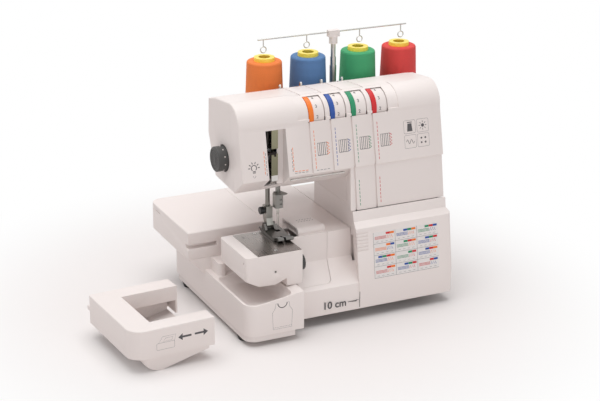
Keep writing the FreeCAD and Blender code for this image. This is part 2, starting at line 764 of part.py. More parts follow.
def needle_plate():
    """Steel plate with the needle slot and three feed slots."""
    front = ARM_FRONT + PLATE_INSET
    plate = box(PLATE_LEFT, ARM_RIGHT - PLATE_RIGHT_INSET, front, ARM_BACK - PLATE_BACK_INSET,
                BED_TOP - PLATE_THICK, BED_TOP)
    plate = soften(plate, PLATE_CORNER, upright_at(PLATE_LEFT, front))
    low, high = BED_TOP - 2 * PLATE_THICK, BED_TOP + 1
    half = NEEDLE_PITCH + 1
    slots = [box(-half, half, -NEEDLE_PITCH, NEEDLE_PITCH, low, high)]
    reach = FEED_SWING + FEED_SIDE
    wide = FEED_WIDTH / 2 + FEED_SIDE
    for x, y0, y1 in FEED_ROWS:
        slots.append(box(x - wide, x + wide, y0 - reach, y1 + reach, low, high))
    return cut(plate, slots)


def feed_dogs():
    """Toothed feed rows on one carrier bar under the plate."""
    carrier_top = BED_TOP - PLATE_THICK - FEED_DROP
    left = FEED_ROWS[0][0] - FEED_TOOTH
    front, back = FEED_CARRIER_Y
    bars = [box(left, FEED_ROWS[-1][0] + FEED_TOOTH, front, back, carrier_top - FEED_BAR, carrier_top),
            box(left, left + FEED_BAR, front, back, ARM_FLOOR + SEAM, carrier_top)]
    root, tip = BED_TOP - FEED_ROOT, BED_TOP - FEED_TIP
    for x, y0, y1 in FEED_ROWS:
        teeth = [(y0, carrier_top - 1), (y0, root)]
        count = int((y1 - y0) / FEED_TOOTH)
        for i in range(count):
            teeth.append((y0 + FEED_TOOTH * (i + 0.3), tip))
            teeth.append((y0 + FEED_TOOTH * (i + 1), root))
        teeth.append((y0 + FEED_TOOTH * count, carrier_top - 1))
        bars.append(prism("x", teeth, x - FEED_WIDTH / 2, x + FEED_WIDTH / 2))
    return fuse(bars)


def panel_zone(grow):
    """Upright column over the fixed panel's plan: right edge drawn in to the front, corner round, grown."""
    left = TROUGH_RIGHT - 1
    right = PANEL_RIGHT + grow
    front = PANEL_LOW_Y - grow
    foot = right - PANEL_TAPER
    back = BED_FRONT + 2 * WALL
    plan = [(left, back), (right, back), (right, BED_FRONT), (foot, front), (left, front)]
    zone = prism("z", plan, 0, BED_TOP + 1)
    return soften(zone, PANEL_CORNER, upright_at(foot, front))


def looper_side_panel():
    """Fixed panel right of the arm: upright above the crease, sloping below it, one lower corner round."""
    return skin(RECESS_FRONT, TABLE_SEAM + SEAM, PANEL_RIGHT + 1).common(panel_zone(0))


def skin(front, x0, x1):
    """Wall of one thickness behind a front line of (y, z) points that runs from the top down."""
    top, bottom = front[0], front[-1]
    back = top[0] + SKIN_BACK
    outer = outline("x", front + [(back, bottom[1]), (back, top[1])])
    over = 2 * WALL
    before = front[-2]
    run = math.hypot(bottom[0] - before[0], bottom[1] - before[1])
    foot_y = bottom[0] + (bottom[0] - before[0]) / run * over
    foot_z = bottom[1] + (bottom[1] - before[1]) / run * over
    inner_front = [(top[0], top[1] + over)] + front[1:-1] + [(foot_y, foot_z)]
    inner = outline("x", inner_front + [(back + over, foot_z), (back + over, top[1] + over)])
    inner = inner.makeOffset2D(-WALL)
    return sweep_face(outer, "x", x0, x1).cut(sweep_face(inner, "x", x0 - 1, x1 + 1))


def left_of_wall(shift):
    """Everything left of the sloping left wall of the cover's bulge, moved to the right by a shift."""
    front, back = BASE_FRONT, ARM_BACK
    loops = []
    for z, x in WALL_LINES:
        at_front = x + WALL_SLOPE * (front - BED_FRONT) + shift
        at_back = x + WALL_SLOPE * (back - BED_FRONT) + shift
        corners = [at(at_front, front, z), at(at_back, back, z), at(TROUGH_RIGHT - 9, back, z),
                   at(TROUGH_RIGHT - 9, front, z)]
        loops.append(Part.makePolygon(corners + corners[:1]))
    return Part.makeLoft(loops, True, True)


def cover_recess():
    """Left part of the front cover: recess, slope and skirt round the fixed panel."""
    sheet = skin(RECESS_FRONT + [(SKIRT_Y, SKIRT_BOTTOM)], TROUGH_RIGHT + 2 * SEAM, COVER_RIGHT / 2)
    sheet = sheet.cut(panel_zone(SEAM))
    back = COVER_BACK
    behind = box(TROUGH_RIGHT - 9, COVER_RIGHT, back, 0, 0, SPLIT_HEIGHT)
    beside = box(TROUGH_RIGHT - 9, COLUMN_LEFT - SEAM, back, 0, 0, SPLIT_HEIGHT)
    drawn_in = WALL_SLOPE * (back - BED_FRONT) - SEAM
    fixed_side = sheet.common(beside).common(left_of_wall(drawn_in))
    front_side = sheet.cut(behind).common(left_of_wall(1))
    return fuse([fixed_side, front_side])


def cover_bulge():
    """Right part of the front cover: a hollow box with a shoulder, its left wall sloping."""
    rim = SPLIT_HEIGHT - SEAM
    left = TROUGH_RIGHT
    outer = prism("x", BULGE_FRONT + [(COVER_BACK, SKIRT_BOTTOM), (COVER_BACK, rim - WALL),
                                      (BAND_TOP_Y + WALL, rim)], left, COVER_RIGHT)
    outer = soften(outer, COVER_EDGE, lambda b: abs(b.XMin - COVER_RIGHT) + b.XLength < 0.01
                   and b.YMax < COVER_BACK - 0.1 and b.ZLength > 20 and b.YMin < BAND_FOOT[0] - 1)
    beyond = COVER_RIGHT + 9
    flank = prism("y", [(BODY_RIGHT, rim + 1), (BODY_RIGHT, BAND_FOOT[1]), (COVER_RIGHT, SHOULDER[1]),
                        (beyond, SHOULDER[1]), (beyond, rim + 1)], SKIRT_Y - 9, 0)
    over = 2 * WALL
    low, back = SKIRT_BOTTOM - over, COVER_BACK + over
    hollow = outline("x", [(BAND_TOP_Y, SPLIT_HEIGHT + over)] + BULGE_FRONT[1:-1] +
                     [(SKIRT_Y, low), (back, low), (back, SPLIT_HEIGHT + over)]).makeOffset2D(-WALL)
    space = sweep_face(hollow, "x", left, BODY_RIGHT - WALL).cut(left_of_wall(WALL))
    return cut(outer, [flank, left_of_wall(0), space])


def cover_ribs():
    """Grip grooves that run round the bulge's left corner."""
    grooves = []
    for i in range(RIB_COUNT):
        z = RIB_TOP - RIB_PITCH * i
        y = lean(BULGE_FRONT[3], SHOULDER, z)
        strip = box(TROUGH_RIGHT, RIB_RIGHT, y - 2, y + RIB_REACH, z, z + RIB_HEIGHT)
        shallow = box(TROUGH_RIGHT, RIB_RIGHT, y - 2, y + RIB_DEPTH, z, z + RIB_HEIGHT)
        grooves.append(fuse([strip.common(left_of_wall(RIB_DEPTH)), shallow]))
    return grooves


def front_cover():
    """Looper cover: recess and skirt at the left, a bulging sloped front at the right, lugs for its hinge."""
    whole = cut(fuse([cover_recess(), cover_bulge()]), cover_ribs())
    lug_radius = HINGE_PIN + HINGE_EYE
    low, high = HINGE_Z - lug_radius, HINGE_Z + lug_radius
    for x in HINGE_SPOTS:
        start = x + EAR_WIDTH + LUG_GAP
        end = start + EAR_WIDTH
        lug = fuse([box(start, end, SKIRT_Y + WALL - LUG_GAP, HINGE_Y, low, high),
                    rod_x(HINGE_Y, HINGE_Z, lug_radius, start, end)])
        whole = whole.fuse(lug).cut(rod_x(HINGE_Y, HINGE_Z, HINGE_PIN + RUN_FIT, start - 1, end + 2))
    return whole.removeSplitter()


def knurled_disc(y, z, radius, x0, x1, count, depth):
    """Disc along X with a ring of half-round grip grooves."""
    disc = rod_x(y, z, radius, x0, x1)
    disc = disc.makeFillet(GRIP_EDGE, [edge for edge in disc.Edges if edge.BoundBox.XLength < 0.01])
    grooves = []
    for i in range(count):
        turn = 2 * math.pi * i / count
        grooves.append(rod_x(y + radius * math.cos(turn), z + radius * math.sin(turn), depth, x0 - 1, x1 + 1))
    return disc.cut(Part.makeCompound(grooves))


def cutting_width_dial():
    """Dark grip dial beside the arm, on a pin in the arm's right wall."""
    y, z = WIDTH_DIAL_Y, WIDTH_DIAL_Z
    x0 = ARM_RIGHT + WIDTH_DIAL_GAP
    disc = knurled_disc(y, z, WIDTH_DIAL_RADIUS, x0, x0 + WIDTH_DIAL_WIDTH, WIDTH_DIAL_GRIPS, GRIP_DEPTH)
    return fuse([disc, rod_x(y, z, WIDTH_DIAL_PIN, ARM_RIGHT - WALL, x0 + 1)])


def column_flare():
    """Wall between the cover's back and the column's left face, along the line of the cover's left wall."""
    block = box(TROUGH_RIGHT, COLUMN_LEFT + 3 * WALL, PLATE_FRONT, FLARE_BACK_Y, FLARE_LOW, SPLIT_HEIGHT)
    return block.common(left_of_wall(WALL)).cut(left_of_wall(0))


def lower_rear_housing():
    """Right and rear walls of the lower body, its rear deck and the foot of the column."""
    front = PLATE_FRONT + HOUSING_INSET
    side = [(front, PLATE_TOP), (BASE_BACK, PLATE_TOP), (BASE_BACK, BED_TOP), (COLUMN_BACK, BED_TOP),
            (COLUMN_BACK, SPLIT_HEIGHT), (front, SPLIT_HEIGHT)]
    outer = prism("x", side, COLUMN_LEFT, BODY_RIGHT)
    outer = soften(outer, HOUSING_CORNER, upright_at(BODY_RIGHT, BASE_BACK))
    inner_back = BASE_BACK - WALL
    inner_deck = COLUMN_BACK - WALL
    ahead, below, above = front - WALL, PLATE_TOP - WALL, SPLIT_HEIGHT + WALL
    inside = [(ahead, below), (inner_back, below), (inner_back, BED_TOP - WALL), (inner_deck, BED_TOP - WALL),
              (inner_deck, above), (ahead, above)]
    shell = outer.cut(prism("x", inside, COLUMN_LEFT + WALL, BODY_RIGHT - WALL))
    window = box(COLUMN_LEFT - 1, COLUMN_LEFT + WALL + 1, front - 1, BASE_BACK - 2 * WALL, PLATE_TOP - 1,
                 BED_TOP - 3 * WALL)
    rear_wall = box(TABLE_SEAM, COLUMN_LEFT + 1, inner_back, BASE_BACK, PLATE_TOP, RECESS_CREASE - SEAM)
    wall_in, wall_out = BODY_RIGHT - WALL - 1, BODY_RIGHT + 1
    holes = [rod_x(SHAFT_Y, SHAFT_Z, SHAFT_RADIUS + WALL, wall_in, wall_out),
             rod_x(LENGTH_DIAL_Y, LENGTH_DIAL_Z, LENGTH_DIAL_PIN + RUN_FIT, wall_in, wall_out),
             box(wall_in, wall_out, *INLET_Y, *INLET_Z)]
    half_y, half_z = BEZEL[0] + INLET_SIDE, BEZEL[1] + INLET_SIDE
    holes.append(box(wall_in, wall_out, SWITCH_Y - half_y, SWITCH_Y + half_y,
                     SWITCH_Z - half_z, SWITCH_Z + half_z))
    for i in range(VENT_COUNT):
        y = VENT_Y + VENT_PITCH * i
        holes.append(box(wall_in, wall_out, y, y + VENT_PITCH / 2, *VENT_Z))
    return cut(fuse([shell.cut(window), rear_wall, column_flare()]), holes)


def stitch_length_dial():
    """Grip dial on the right side of the body."""
    y, z = LENGTH_DIAL_Y, LENGTH_DIAL_Z
    x0 = BODY_RIGHT + WHEEL_GAP / 3
    disc = knurled_disc(y, z, LENGTH_DIAL_RADIUS, x0, x0 + LENGTH_DIAL_WIDTH, LENGTH_DIAL_GRIPS, GRIP_DEPTH)
    return fuse([disc, rod_x(y, z, LENGTH_DIAL_PIN, BODY_RIGHT - 2 * WALL, x0 + 1)])


def inlet_socket():
    """Flanged socket with two pins."""
    y0, y1 = INLET_Y
    z0, z1 = INLET_Z
    out = BODY_RIGHT + INLET_FLANGE
    wall = INLET_WALL
    flange = box(BODY_RIGHT, out, y0 - wall, y1 + wall, z0 - wall, z1 + wall)
    gap = INLET_SIDE
    sleeve = box(BODY_RIGHT - INLET_DEPTH, out, y0 + gap, y1 - gap, z0 + gap, z1 - gap)
    floor = BODY_RIGHT - INLET_DEPTH + wall
    well = box(floor, out + 1, y0 + wall, y1 - wall, z0 + wall, z1 - wall)
    socket = fuse([flange, sleeve]).cut(well)
    mid_y, mid_z = (y0 + y1) / 2, (z0 + z1) / 2
    for side in (-1, 1):
        pin = rod_x(mid_y + side * INLET_PIN_SPREAD, mid_z, INLET_PIN, floor - 1, BODY_RIGHT - WALL)
        socket = socket.fuse(pin)
    return socket.removeSplitter()


def switch_bezel():
    """Frame in the right wall that carries the rocker switch."""
    half_y, half_z = BEZEL
    y, z = SWITCH_Y, SWITCH_Z
    out = BODY_RIGHT + 1
    edge = BEZEL_EDGE
    sleeve = box(BODY_RIGHT - BEZEL_DEPTH, out, y - half_y, y + half_y, z - half_z, z + half_z)
    flange = box(BODY_RIGHT, out, y - half_y - edge, y + half_y + edge, z - half_z - edge, z + half_z + edge)
    open_y, open_z = SWITCH_HALF[0] + SWITCH_GAP, SWITCH_HALF[1] + BEZEL_EDGE - SEAM
    window = box(BODY_RIGHT - BEZEL_DEPTH - 1, out + 1, y - open_y, y + open_y, z - open_z, z + open_z)
    reach = SWITCH_HALF[0] + SWITCH_PIN_REACH + SWITCH_GAP / 2
    bore = rod_y(BODY_RIGHT - SWITCH_PIVOT_IN, z, SWITCH_PIN + RUN_FIT, y - reach, y + reach)
    return cut(fuse([sleeve, flange]), [window, bore])


def power_inlet():
    """Socket for a lead, and the bezel of the rocker switch, both set in the right wall."""
    return [inlet_socket(), switch_bezel()]


def power_switch():
    """Rocker that tips about a level axis through its middle."""
    half_y, half_z = SWITCH_HALF
    low, high = SWITCH_Z - half_z, SWITCH_Z + half_z
    back = BODY_RIGHT - ROCKER_BACK
    face = [(back, low), (BODY_RIGHT + ROCKER_PROUD, low), (BODY_RIGHT + ROCKER_MID, SWITCH_Z),
            (BODY_RIGHT + ROCKER_TOP, high), (back, high), ((back - ROCKER_BELLY, SWITCH_Z), (back, low))]
    rocker = prism("y", face, SWITCH_Y - half_y, SWITCH_Y + half_y)
    reach = half_y + SWITCH_PIN_REACH
    pin = rod_y(BODY_RIGHT - SWITCH_PIVOT_IN, SWITCH_Z, SWITCH_PIN, SWITCH_Y - reach, SWITCH_Y + reach)
    return fuse([rocker, pin])


def head_side(inset):
    """Side outline of the head, moved inwards by an inset."""
    face = outline("x", [FRONT_LOW, FRONT_HIGH, (CROWN_MID, CROWN_TOP), CROWN_BACK, REAR_EDGE,
                         (HEAD_BACK, REAR_LOW_Z), BELLY_BACK, BELLY_FRONT])
    if inset:
        face = face.makeOffset2D(-inset)
    return face


def head_solid(inset):
    """Solid of the head without its column, moved inwards by an inset."""
    return sweep_face(head_side(inset), "x", HEAD_LEFT + inset, BODY_RIGHT - inset)


def column_solid(inset):
    """Upright part of the column under the head, flared at its front left, moved inwards by an inset."""
    low = SPLIT_HEIGHT + SEAM
    over = 2 * inset
    foot_z = low - over
    front_foot = (lean((PANEL_FOOT_Y, low), PANEL_TOP, foot_z) + inset, foot_z)
    back = COLUMN_BACK - inset
    top = COLUMN_TOP + over
    side = outline("x", [front_foot, (PANEL_TOP[0] + inset, PANEL_TOP[1]), (COLUMN_TOP_FRONT + inset, top),
                         (COLUMN_TOP_BACK, top), (back, STAND_TOP + 1 - inset), (back, foot_z)])
    left, right = COVER_LEFT + inset, BODY_RIGHT - HEAD_OVERHANG - inset
    solid = sweep_face(side, "x", left, right)
    front, behind = SKIRT_Y, BASE_BACK
    plan = prism("z", [(left, front), (right, front), (right, behind), (COLUMN_LEFT + inset, behind),
                       (COLUMN_LEFT + inset, FLARE_BACK_Y), (left, FLARE_FRONT_Y)], 0, HEAD_TOP)
    return solid.common(plan)


def band_line(grow):
    """Side line of the head where it follows the dials: an arc, a tangent and a level end, moved inwards."""
    radius = BAND_RADIUS - grow

    def rim(turn):
        return (DIAL_Y - radius * math.cos(turn), DIAL_Z + radius * math.sin(turn))

    turn = math.radians(BAND_TURN)
    last = rim(turn)
    level = (last[0] + BAND_TANGENT * math.sin(turn), last[1] + BAND_TANGENT * math.cos(turn))
    return [rim(0), (rim(turn / 2), last), level]


def band_cut(grow):
    """What is taken off the top front of the head so that it follows the dials, grown inwards."""
    line = band_line(grow)
    ahead, above = PANEL_FOOT_Y, HEAD_TOP + 9
    steps = line + [(REAR_EDGE[0], line[-1][1]), (REAR_EDGE[0], above), (ahead, above), (ahead, DIAL_Z)]
    return prism("x", steps, BAND_LEFT - grow, BAND_RIGHT + grow)


def upper_body():
    """Shell of the head and column in one piece, before it is split along the seam."""
    head = soften(head_solid(0), HEAD_END_EDGE, lambda b: abs(b.XMin - HEAD_LEFT) + b.XLength < 0.01)
    outer = fuse([head.cut(band_cut(0)), column_solid(0)])
    space = fuse([head_solid(WALL).cut(band_cut(WALL)), column_solid(WALL)])
    return outer.cut(space)


def before_seam(gap):
    """Everything in front of the cover seam, which leans with the head's front."""
    above, below = HEAD_TOP + 20, SPLIT_HEIGHT - 20
    ahead = SKIRT_Y - 20
    high = (lean(SEAM_FOOT, SEAM_TOP, above) - gap, above)
    low = (lean(SEAM_FOOT, SEAM_TOP, below) - gap, below)
    return prism("x", [(ahead, below), low, high, (ahead, above)], HEAD_LEFT - 9, BODY_RIGHT + 9)


def thread_slots():
    """Grooves that lead each thread from its clip over the head to its dial, and on down the front panels."""
    tools = []
    deep = SLOT_DEPTH
    ahead = SKIRT_Y
    low, high = FRONT_LOW[1] - 2 * WALL, OPENING_LOW + 1
    upper = [(lean(FRONT_LOW, FRONT_HIGH, low) + deep, low), (lean(FRONT_LOW, FRONT_HIGH, high) + deep, high),
             (ahead, high), (ahead, low)]
    foot = SPLIT_HEIGHT - 1
    top = PANEL_TOP[1] + 2
    lower = [(PANEL_FOOT_Y + deep, foot), (PANEL_TOP[0] + deep, top), (ahead, top), (ahead, foot)]
    shelf = band_line(0)[-1]
    meet = lean(CROWN_TOP, CROWN_BACK, shelf[1])
    above = HEAD_TOP + 9
    over = [(shelf[0], shelf[1] - TOP_GROOVE), (meet, shelf[1] - TOP_GROOVE),
            (CROWN_BACK[0], CROWN_BACK[1] - TOP_GROOVE), (CLIP_Y, above), (shelf[0], above)]
    for i, left in enumerate(DIAL_LEFTS):
        tools.append(prism("x", upper, left - SLOT_WIDTH, left))
        tools.append(prism("x", over, left - SLOT_WIDTH, left - DIAL_SIDE))
        if i >= DIAL_COUNT // 2:
            tools.append(prism("x", lower, left - SLOT_WIDTH, left))
    return tools


def bar_holes():
    """Openings in the head's underside for the needle bar and the presser bar."""
    low, high = HEAD_BOTTOM - 9, FRONT_LOW[1] - 1
    return [rod_z(0, 0, BAR_RADIUS + BAR_SIDE, low, high),
            rod_z(PRESSER_X, PRESSER_Y, PRESSER_RADIUS + BAR_SIDE, low, high)]


def dial_reliefs():
    """Room for each dial to turn in the head's shell, and the opening that it shows through."""
    tools = []
    for left in DIAL_LEFTS:
        x0, x1 = left - DIAL_SIDE, left + RING_WIDTH + DRUM_WIDTH + DIAL_SIDE
        tools.append(rod_x(DIAL_Y, DIAL_Z, RING_RADIUS + SEAM, x0, x1))
        tools.append(box(x0, x1, SKIRT_Y, DIAL_Y - DRUM_RADIUS / 2, OPENING_LOW, DIAL_Z))
    return tools


def slot_lining():
    """Ceiling of the take-up slot, and its side and back wall right of the polished strips."""
    low, high = HEAD_BOTTOM, TAKE_UP_TOP + LINING
    x0, x1 = STRIP_LEFT + STRIP_WIDTH + SEAM, TAKE_UP_RIGHT + LINING
    back = LINING_BACK
    ahead = FRONT_LOW[0] - 1
    block = box(x0, x1, ahead, back, low, high)
    well = box(x0 - 1, TAKE_UP_RIGHT, ahead - 1, back - LINING, low - 1, TAKE_UP_TOP)
    ceiling = box(TAKE_UP_LEFT - 1, x1, ahead, back, TAKE_UP_TOP, high)
    return fuse([block.cut(well), ceiling]).common(head_solid(1))


def spindle_ribs():
    """Two ribs inside the front shell that hold the dials' spindle."""
    ribs = []
    low, high = DIAL_Z - SPINDLE_RIB, DIAL_Z + SPINDLE_RIB
    front = lean(FRONT_LOW, FRONT_HIGH, low) + 1
    for x in (BAND_LEFT - WALL, BAND_RIGHT):
        web = box(x, x + WALL, front, DIAL_Y, low, high)
        hub = rod_x(DIAL_Y, DIAL_Z, SPINDLE_RADIUS + WALL, x, x + WALL)
        bore = rod_x(DIAL_Y, DIAL_Z, SPINDLE_RADIUS + RUN_FIT, x - 1, x + WALL + 1)
        ribs.append(fuse([web, hub]).common(head_solid(1)).cut(bore))
    return ribs


def head_front_cover():
    """Front shell of the head and column: thread slots, dial openings, take-up slot, spindle ribs."""
    cover = upper_body().common(before_seam(SEAM / 2))
    take_up = box(TAKE_UP_LEFT, TAKE_UP_RIGHT, SKIRT_Y, LINING_BACK + 2 * LINING, FRONT_LOW[1] - 5 * WALL,
                  TAKE_UP_TOP)
    cover = cut(cover, thread_slots() + dial_reliefs() + bar_holes() + [take_up])
    return fuse([cover, slot_lining()] + spindle_ribs())


def head_rear_cover():
    """Rear shell of the head and column, with the pressure dial's cup and the lifter slot."""
    y, z = PRESSURE_Y, PRESSURE_Z
    shell = upper_body().cut(before_seam(-SEAM / 2))
    hole = rod_x(y, z, PRESSURE_RECESS, HEAD_LEFT - 1, HEAD_LEFT + WALL + 1)
    lifter_slot = box(LIFTER_X - LIFTER_SLOT, LIFTER_X + LIFTER_SLOT, BELLY_BACK[0] - 2 * WALL, HEAD_BACK + 9,
                      *LIFTER_SLOT_Z)
    shell = cut(shell, bar_holes() + dial_reliefs() + thread_slots() + [lifter_slot, hole])
    cup = rod_x(y, z, PRESSURE_RECESS + CUP_WALL, HEAD_LEFT + CUP_WALL / 4, HEAD_LEFT + PRESSURE_CUP)
    well = rod_x(y, z, PRESSURE_RECESS, HEAD_LEFT - 1, HEAD_LEFT + PRESSURE_CUP - CUP_WALL)
    bore = rod_x(y, z, PRESSURE_PIN + RUN_FIT, HEAD_LEFT, HEAD_LEFT + PRESSURE_CUP + 1)
    return cut(fuse([shell, cup]), [well, bore])


def pressure_dial():
    """Round grip knob in the recess of the head's left end, with rings turned into its face."""
    y, z = PRESSURE_Y, PRESSURE_Z
    x0 = HEAD_LEFT - PRESSURE_OUT
    seat = HEAD_LEFT + PRESSURE_CUP - CUP_WALL - 1
    knob = rod_x(y, z, PRESSURE_RADIUS, x0, seat)
    face = [edge for edge in knob.Edges if abs(edge.BoundBox.XMin - x0) + edge.BoundBox.XLength < 0.01]
    knob = knob.makeFillet(KNOB_EDGE, face)
    half = KNOB_RING / 2
    for radius in KNOB_RINGS:
        ring = rod_x(y, z, radius + half, x0 - 1, x0 + half)
        knob = knob.cut(ring.cut(rod_x(y, z, radius - half, x0 - 2, x0 + 1)))
    return fuse([knob, rod_x(y, z, PRESSURE_PIN, seat - 1, HEAD_LEFT + PRESSURE_CUP + WALL)])


def tension_drum(left):
    """White number drum of one tension dial."""
    x0 = left + RING_WIDTH
    x1 = x0 + DRUM_WIDTH
    drum = rod_x(DIAL_Y, DIAL_Z, DRUM_RADIUS, x0, x1)
    drum = drum.makeFillet(DRUM_EDGE, [e for e in drum.Edges if abs(e.BoundBox.XMin - x1) < 0.01])
    web = rod_x(DIAL_Y, DIAL_Z, DRUM_RADIUS - DRUM_WALL, x0 + DRUM_WALL, x1 + 1)
    web = web.cut(rod_x(DIAL_Y, DIAL_Z, SPINDLE_RADIUS + DRUM_WALL, x0, x1 + 2))
    return cut(drum, [web, rod_x(DIAL_Y, DIAL_Z, SPINDLE_RADIUS + RUN_FIT, x0 - 1, x1 + 1)])


def tension_ring(left):
    """Coloured grip ring at the left of one tension dial, dished on its left side."""
    x1 = left + RING_WIDTH
    ring = rod_x(DIAL_Y, DIAL_Z, RING_RADIUS, left, x1)
    ring = ring.makeFillet(GRIP_EDGE, [e for e in ring.Edges if e.BoundBox.XLength < 0.01])
    bore = rod_x(DIAL_Y, DIAL_Z, SPINDLE_RADIUS + RUN_FIT, left - 1, x1 + 1)
    dish = rod_x(DIAL_Y, DIAL_Z, RING_RADIUS - RING_DISH, left - 1, left + RING_DISH)
    hub = rod_x(DIAL_Y, DIAL_Z, SPINDLE_RADIUS + RING_DISH, left - 2, x1)
    return cut(ring, [bore, dish.cut(hub)])


def tension_spindle():
    """Rod that all four tension dials turn on."""
    return rod_x(DIAL_Y, DIAL_Z, SPINDLE_RADIUS, BAND_LEFT - WALL, BAND_RIGHT + WALL)


def bevel_inside(y):
    """Height of the inner face of the head's sloping underside."""
    run, rise = BELLY_FRONT[0] - FRONT_LOW[0], BELLY_FRONT[1] - FRONT_LOW[1]
    outside = FRONT_LOW[1] + rise * (y - FRONT_LOW[0]) / run
    return outside + WALL * math.hypot(run, rise) / run + SEAT_GAP


def head_clips():
    """Small spring clips on the head's top, one in line with each thread groove."""
    clips = []
    fall = (REAR_EDGE[1] - CROWN_BACK[1]) / (REAR_EDGE[0] - CROWN_BACK[0])
    z = CROWN_BACK[1] + fall * (CLIP_Y - CROWN_BACK[0])
    front, back = CLIP_Y - CLIP_LENGTH / 2, CLIP_Y + CLIP_LENGTH / 2
    drop = fall * CLIP_LENGTH / 2
    high, low = z - drop, z + drop
    sole = [(front, high), (back, low), (back, low + CLIP_THICK), (front, high + CLIP_THICK)]
    for left in DIAL_LEFTS:
        x = left - SLOT_WIDTH
        foot = prism("x", sole, x - CLIP_WIDTH / 2, x + CLIP_WIDTH / 2)
        arch = prism("x", [(CLIP_Y - 2, z - WALL), (CLIP_Y - 2, z + CLIP_RISE),
                           ((CLIP_Y, z + CLIP_RISE + 2), (CLIP_Y + 2, z + CLIP_RISE)),
                           (CLIP_Y + 2, z - WALL)], x - CLIP_POST, x + CLIP_POST)
        eye = rod_x(CLIP_Y, z + CLIP_RISE, CLIP_POST, x - CLIP_WIDTH, x + CLIP_WIDTH)
        clips.append(fuse([foot, arch.cut(eye).cut(head_solid(0))]))
    return clips


def slot_strips():
    """Two polished strips in the take-up slot, with the lever's gap between them."""
    y = lean(FRONT_LOW, FRONT_HIGH, STRIP_GAP[0]) + STRIP_INSET
    back = y + STRIP_THICK
    x0, x1 = STRIP_LEFT, STRIP_LEFT + STRIP_WIDTH
    upper = box(x0, x1, y, back, STRIP_GAP[1], TAKE_UP_TOP - SEAT_GAP)
    toe_y = BELLY_FRONT[0] - 1
    seat, toe = (y, bevel_inside(y)), (toe_y, bevel_inside(toe_y))
    lower = prism("x", [(y, STRIP_GAP[0]), seat, toe, (toe[0], toe[1] + STRIP_THICK),
                        (back, seat[1] + STRIP_THICK), (back, STRIP_GAP[0])], x0, x1)
    return [upper, lower]


def panel_rail():
    """Wire rail under the front panels."""
    y, z = FRONT_LOW[0] + RAIL_INSET, FRONT_LOW[1] - RAIL_INSET - 1
    left, right = TAKE_UP_RIGHT + RAIL_END, COVER_LEFT - RAIL_END
    rail = [rod_x(y, z, RAIL_RADIUS, left, right)]
    half = RAIL_RADIUS * 2 / 3
    for x in (left + 2, DIAL_LEFTS[0], DIAL_LEFTS[1], right - 2 - WALL):
        rail.append(box(x, x + WALL, y - half, y + 3 * WALL, z - half, z + half))
    return fuse(rail).cut(head_solid(0))


def thread_guides():
    """Clips on top of the head, the two polished strips in the take-up slot and the rail under the panels."""
    return head_clips() + slot_strips() + [panel_rail()]


def main_frame():
    """Cast frame: sole, shaft stands, column, head beam and the bosses of the needle and presser bars."""
    sole_front, sole_back = SHAFT_Y - SOLE_HALF, SHAFT_Y + SOLE_HALF
    end = BUSH_SPOTS[1] + BUSH_LENGTH + 1
    sole_top = FLOOR_TOP + SOLE_THICK
    pieces = [box(BUSH_SPOTS[0] - 2 * WALL, end, sole_front, sole_back, FLOOR_TOP, sole_top), looper_post()]
    for x in BUSH_SPOTS:
        pieces.append(box(x, x + BUSH_LENGTH, sole_front + 1, sole_back - 1, sole_top - 1,
                          SHAFT_Z + SOLE_HALF))
    beam_front, beam_back = BEAM_Y
    beam_low, beam_high = BEAM_Z
    left, right = FRAME_COLUMN_X
    pieces.append(box(left, right, FRAME_COLUMN_Y, sole_back, sole_top - 1, beam_low + 2 * WALL))
    beam = box(BEAM_LEFT, right, beam_front, beam_back, beam_low, beam_high)
    slot_top = LIFTER_Z + LIFTER_ARM_RISE
    pieces.append(beam.cut(box(LIFTER_X - LIFTER_SLOT, LIFTER_X + LIFTER_SLOT, beam_front - 1, beam_back + 1,
                               beam_low - 1, slot_top)))
    web_back = beam_front + 2
    collar_clear = COLLAR_TOP + PRESSER_LIFT + CLEARANCE
    boss_high = collar_clear + WEB_HEIGHT
    pieces.append(rod_z(0, 0, BAR_RADIUS + BOSS_WALL, BOSS_LOW, boss_high))
    pieces.append(box(-WEB_HALF, WEB_HALF, BAR_RADIUS, web_back, collar_clear, boss_high))
    pieces.append(rod_z(PRESSER_X, PRESSER_Y, PRESSER_RADIUS + BOSS_WALL, collar_clear, boss_high + WALL))
    arm_right = PRESSER_X - PRESSER_RADIUS
    pieces.append(box(arm_right - WALL, arm_right, LIFTER_Y - LIFTER_PIN - 2, web_back,
                      LIFTER_Z - LIFTER_PIN - 2, slot_top))
    pieces.append(rod_x(LIFTER_Y, LIFTER_Z, LIFTER_PIN, LIFTER_X - LIFTER_HALF - 1, arm_right))
    pin_end = TAKE_UP_X + TAKE_UP_REACH
    pieces.append(rod_x(TAKE_UP_Y, TAKE_UP_Z, TAKE_UP_PIN, TAKE_UP_X - TAKE_UP_HALF - 1, pin_end))
    take_up_low = slot_top + 1
    take_up_high = TAKE_UP_Z + TAKE_UP_PIN + 2
    pieces.append(box(pin_end - WALL - 1, pin_end, TAKE_UP_Y - TAKE_UP_PIN - 2, beam_back - 2, take_up_low,
                      take_up_high))
    bore_low, bore_high = SPLIT_HEIGHT, HEAD_TOP
    bores = [rod_x(SHAFT_Y, SHAFT_Z, SHAFT_RADIUS + BUSH_WALL, TABLE_SEAM, BODY_RIGHT),
             rod_z(0, 0, BAR_RADIUS + RUN_FIT, bore_low, bore_high),
             rod_z(PRESSER_X, PRESSER_Y, PRESSER_RADIUS + RUN_FIT, bore_low, bore_high)]
    return cut(fuse(pieces), bores)


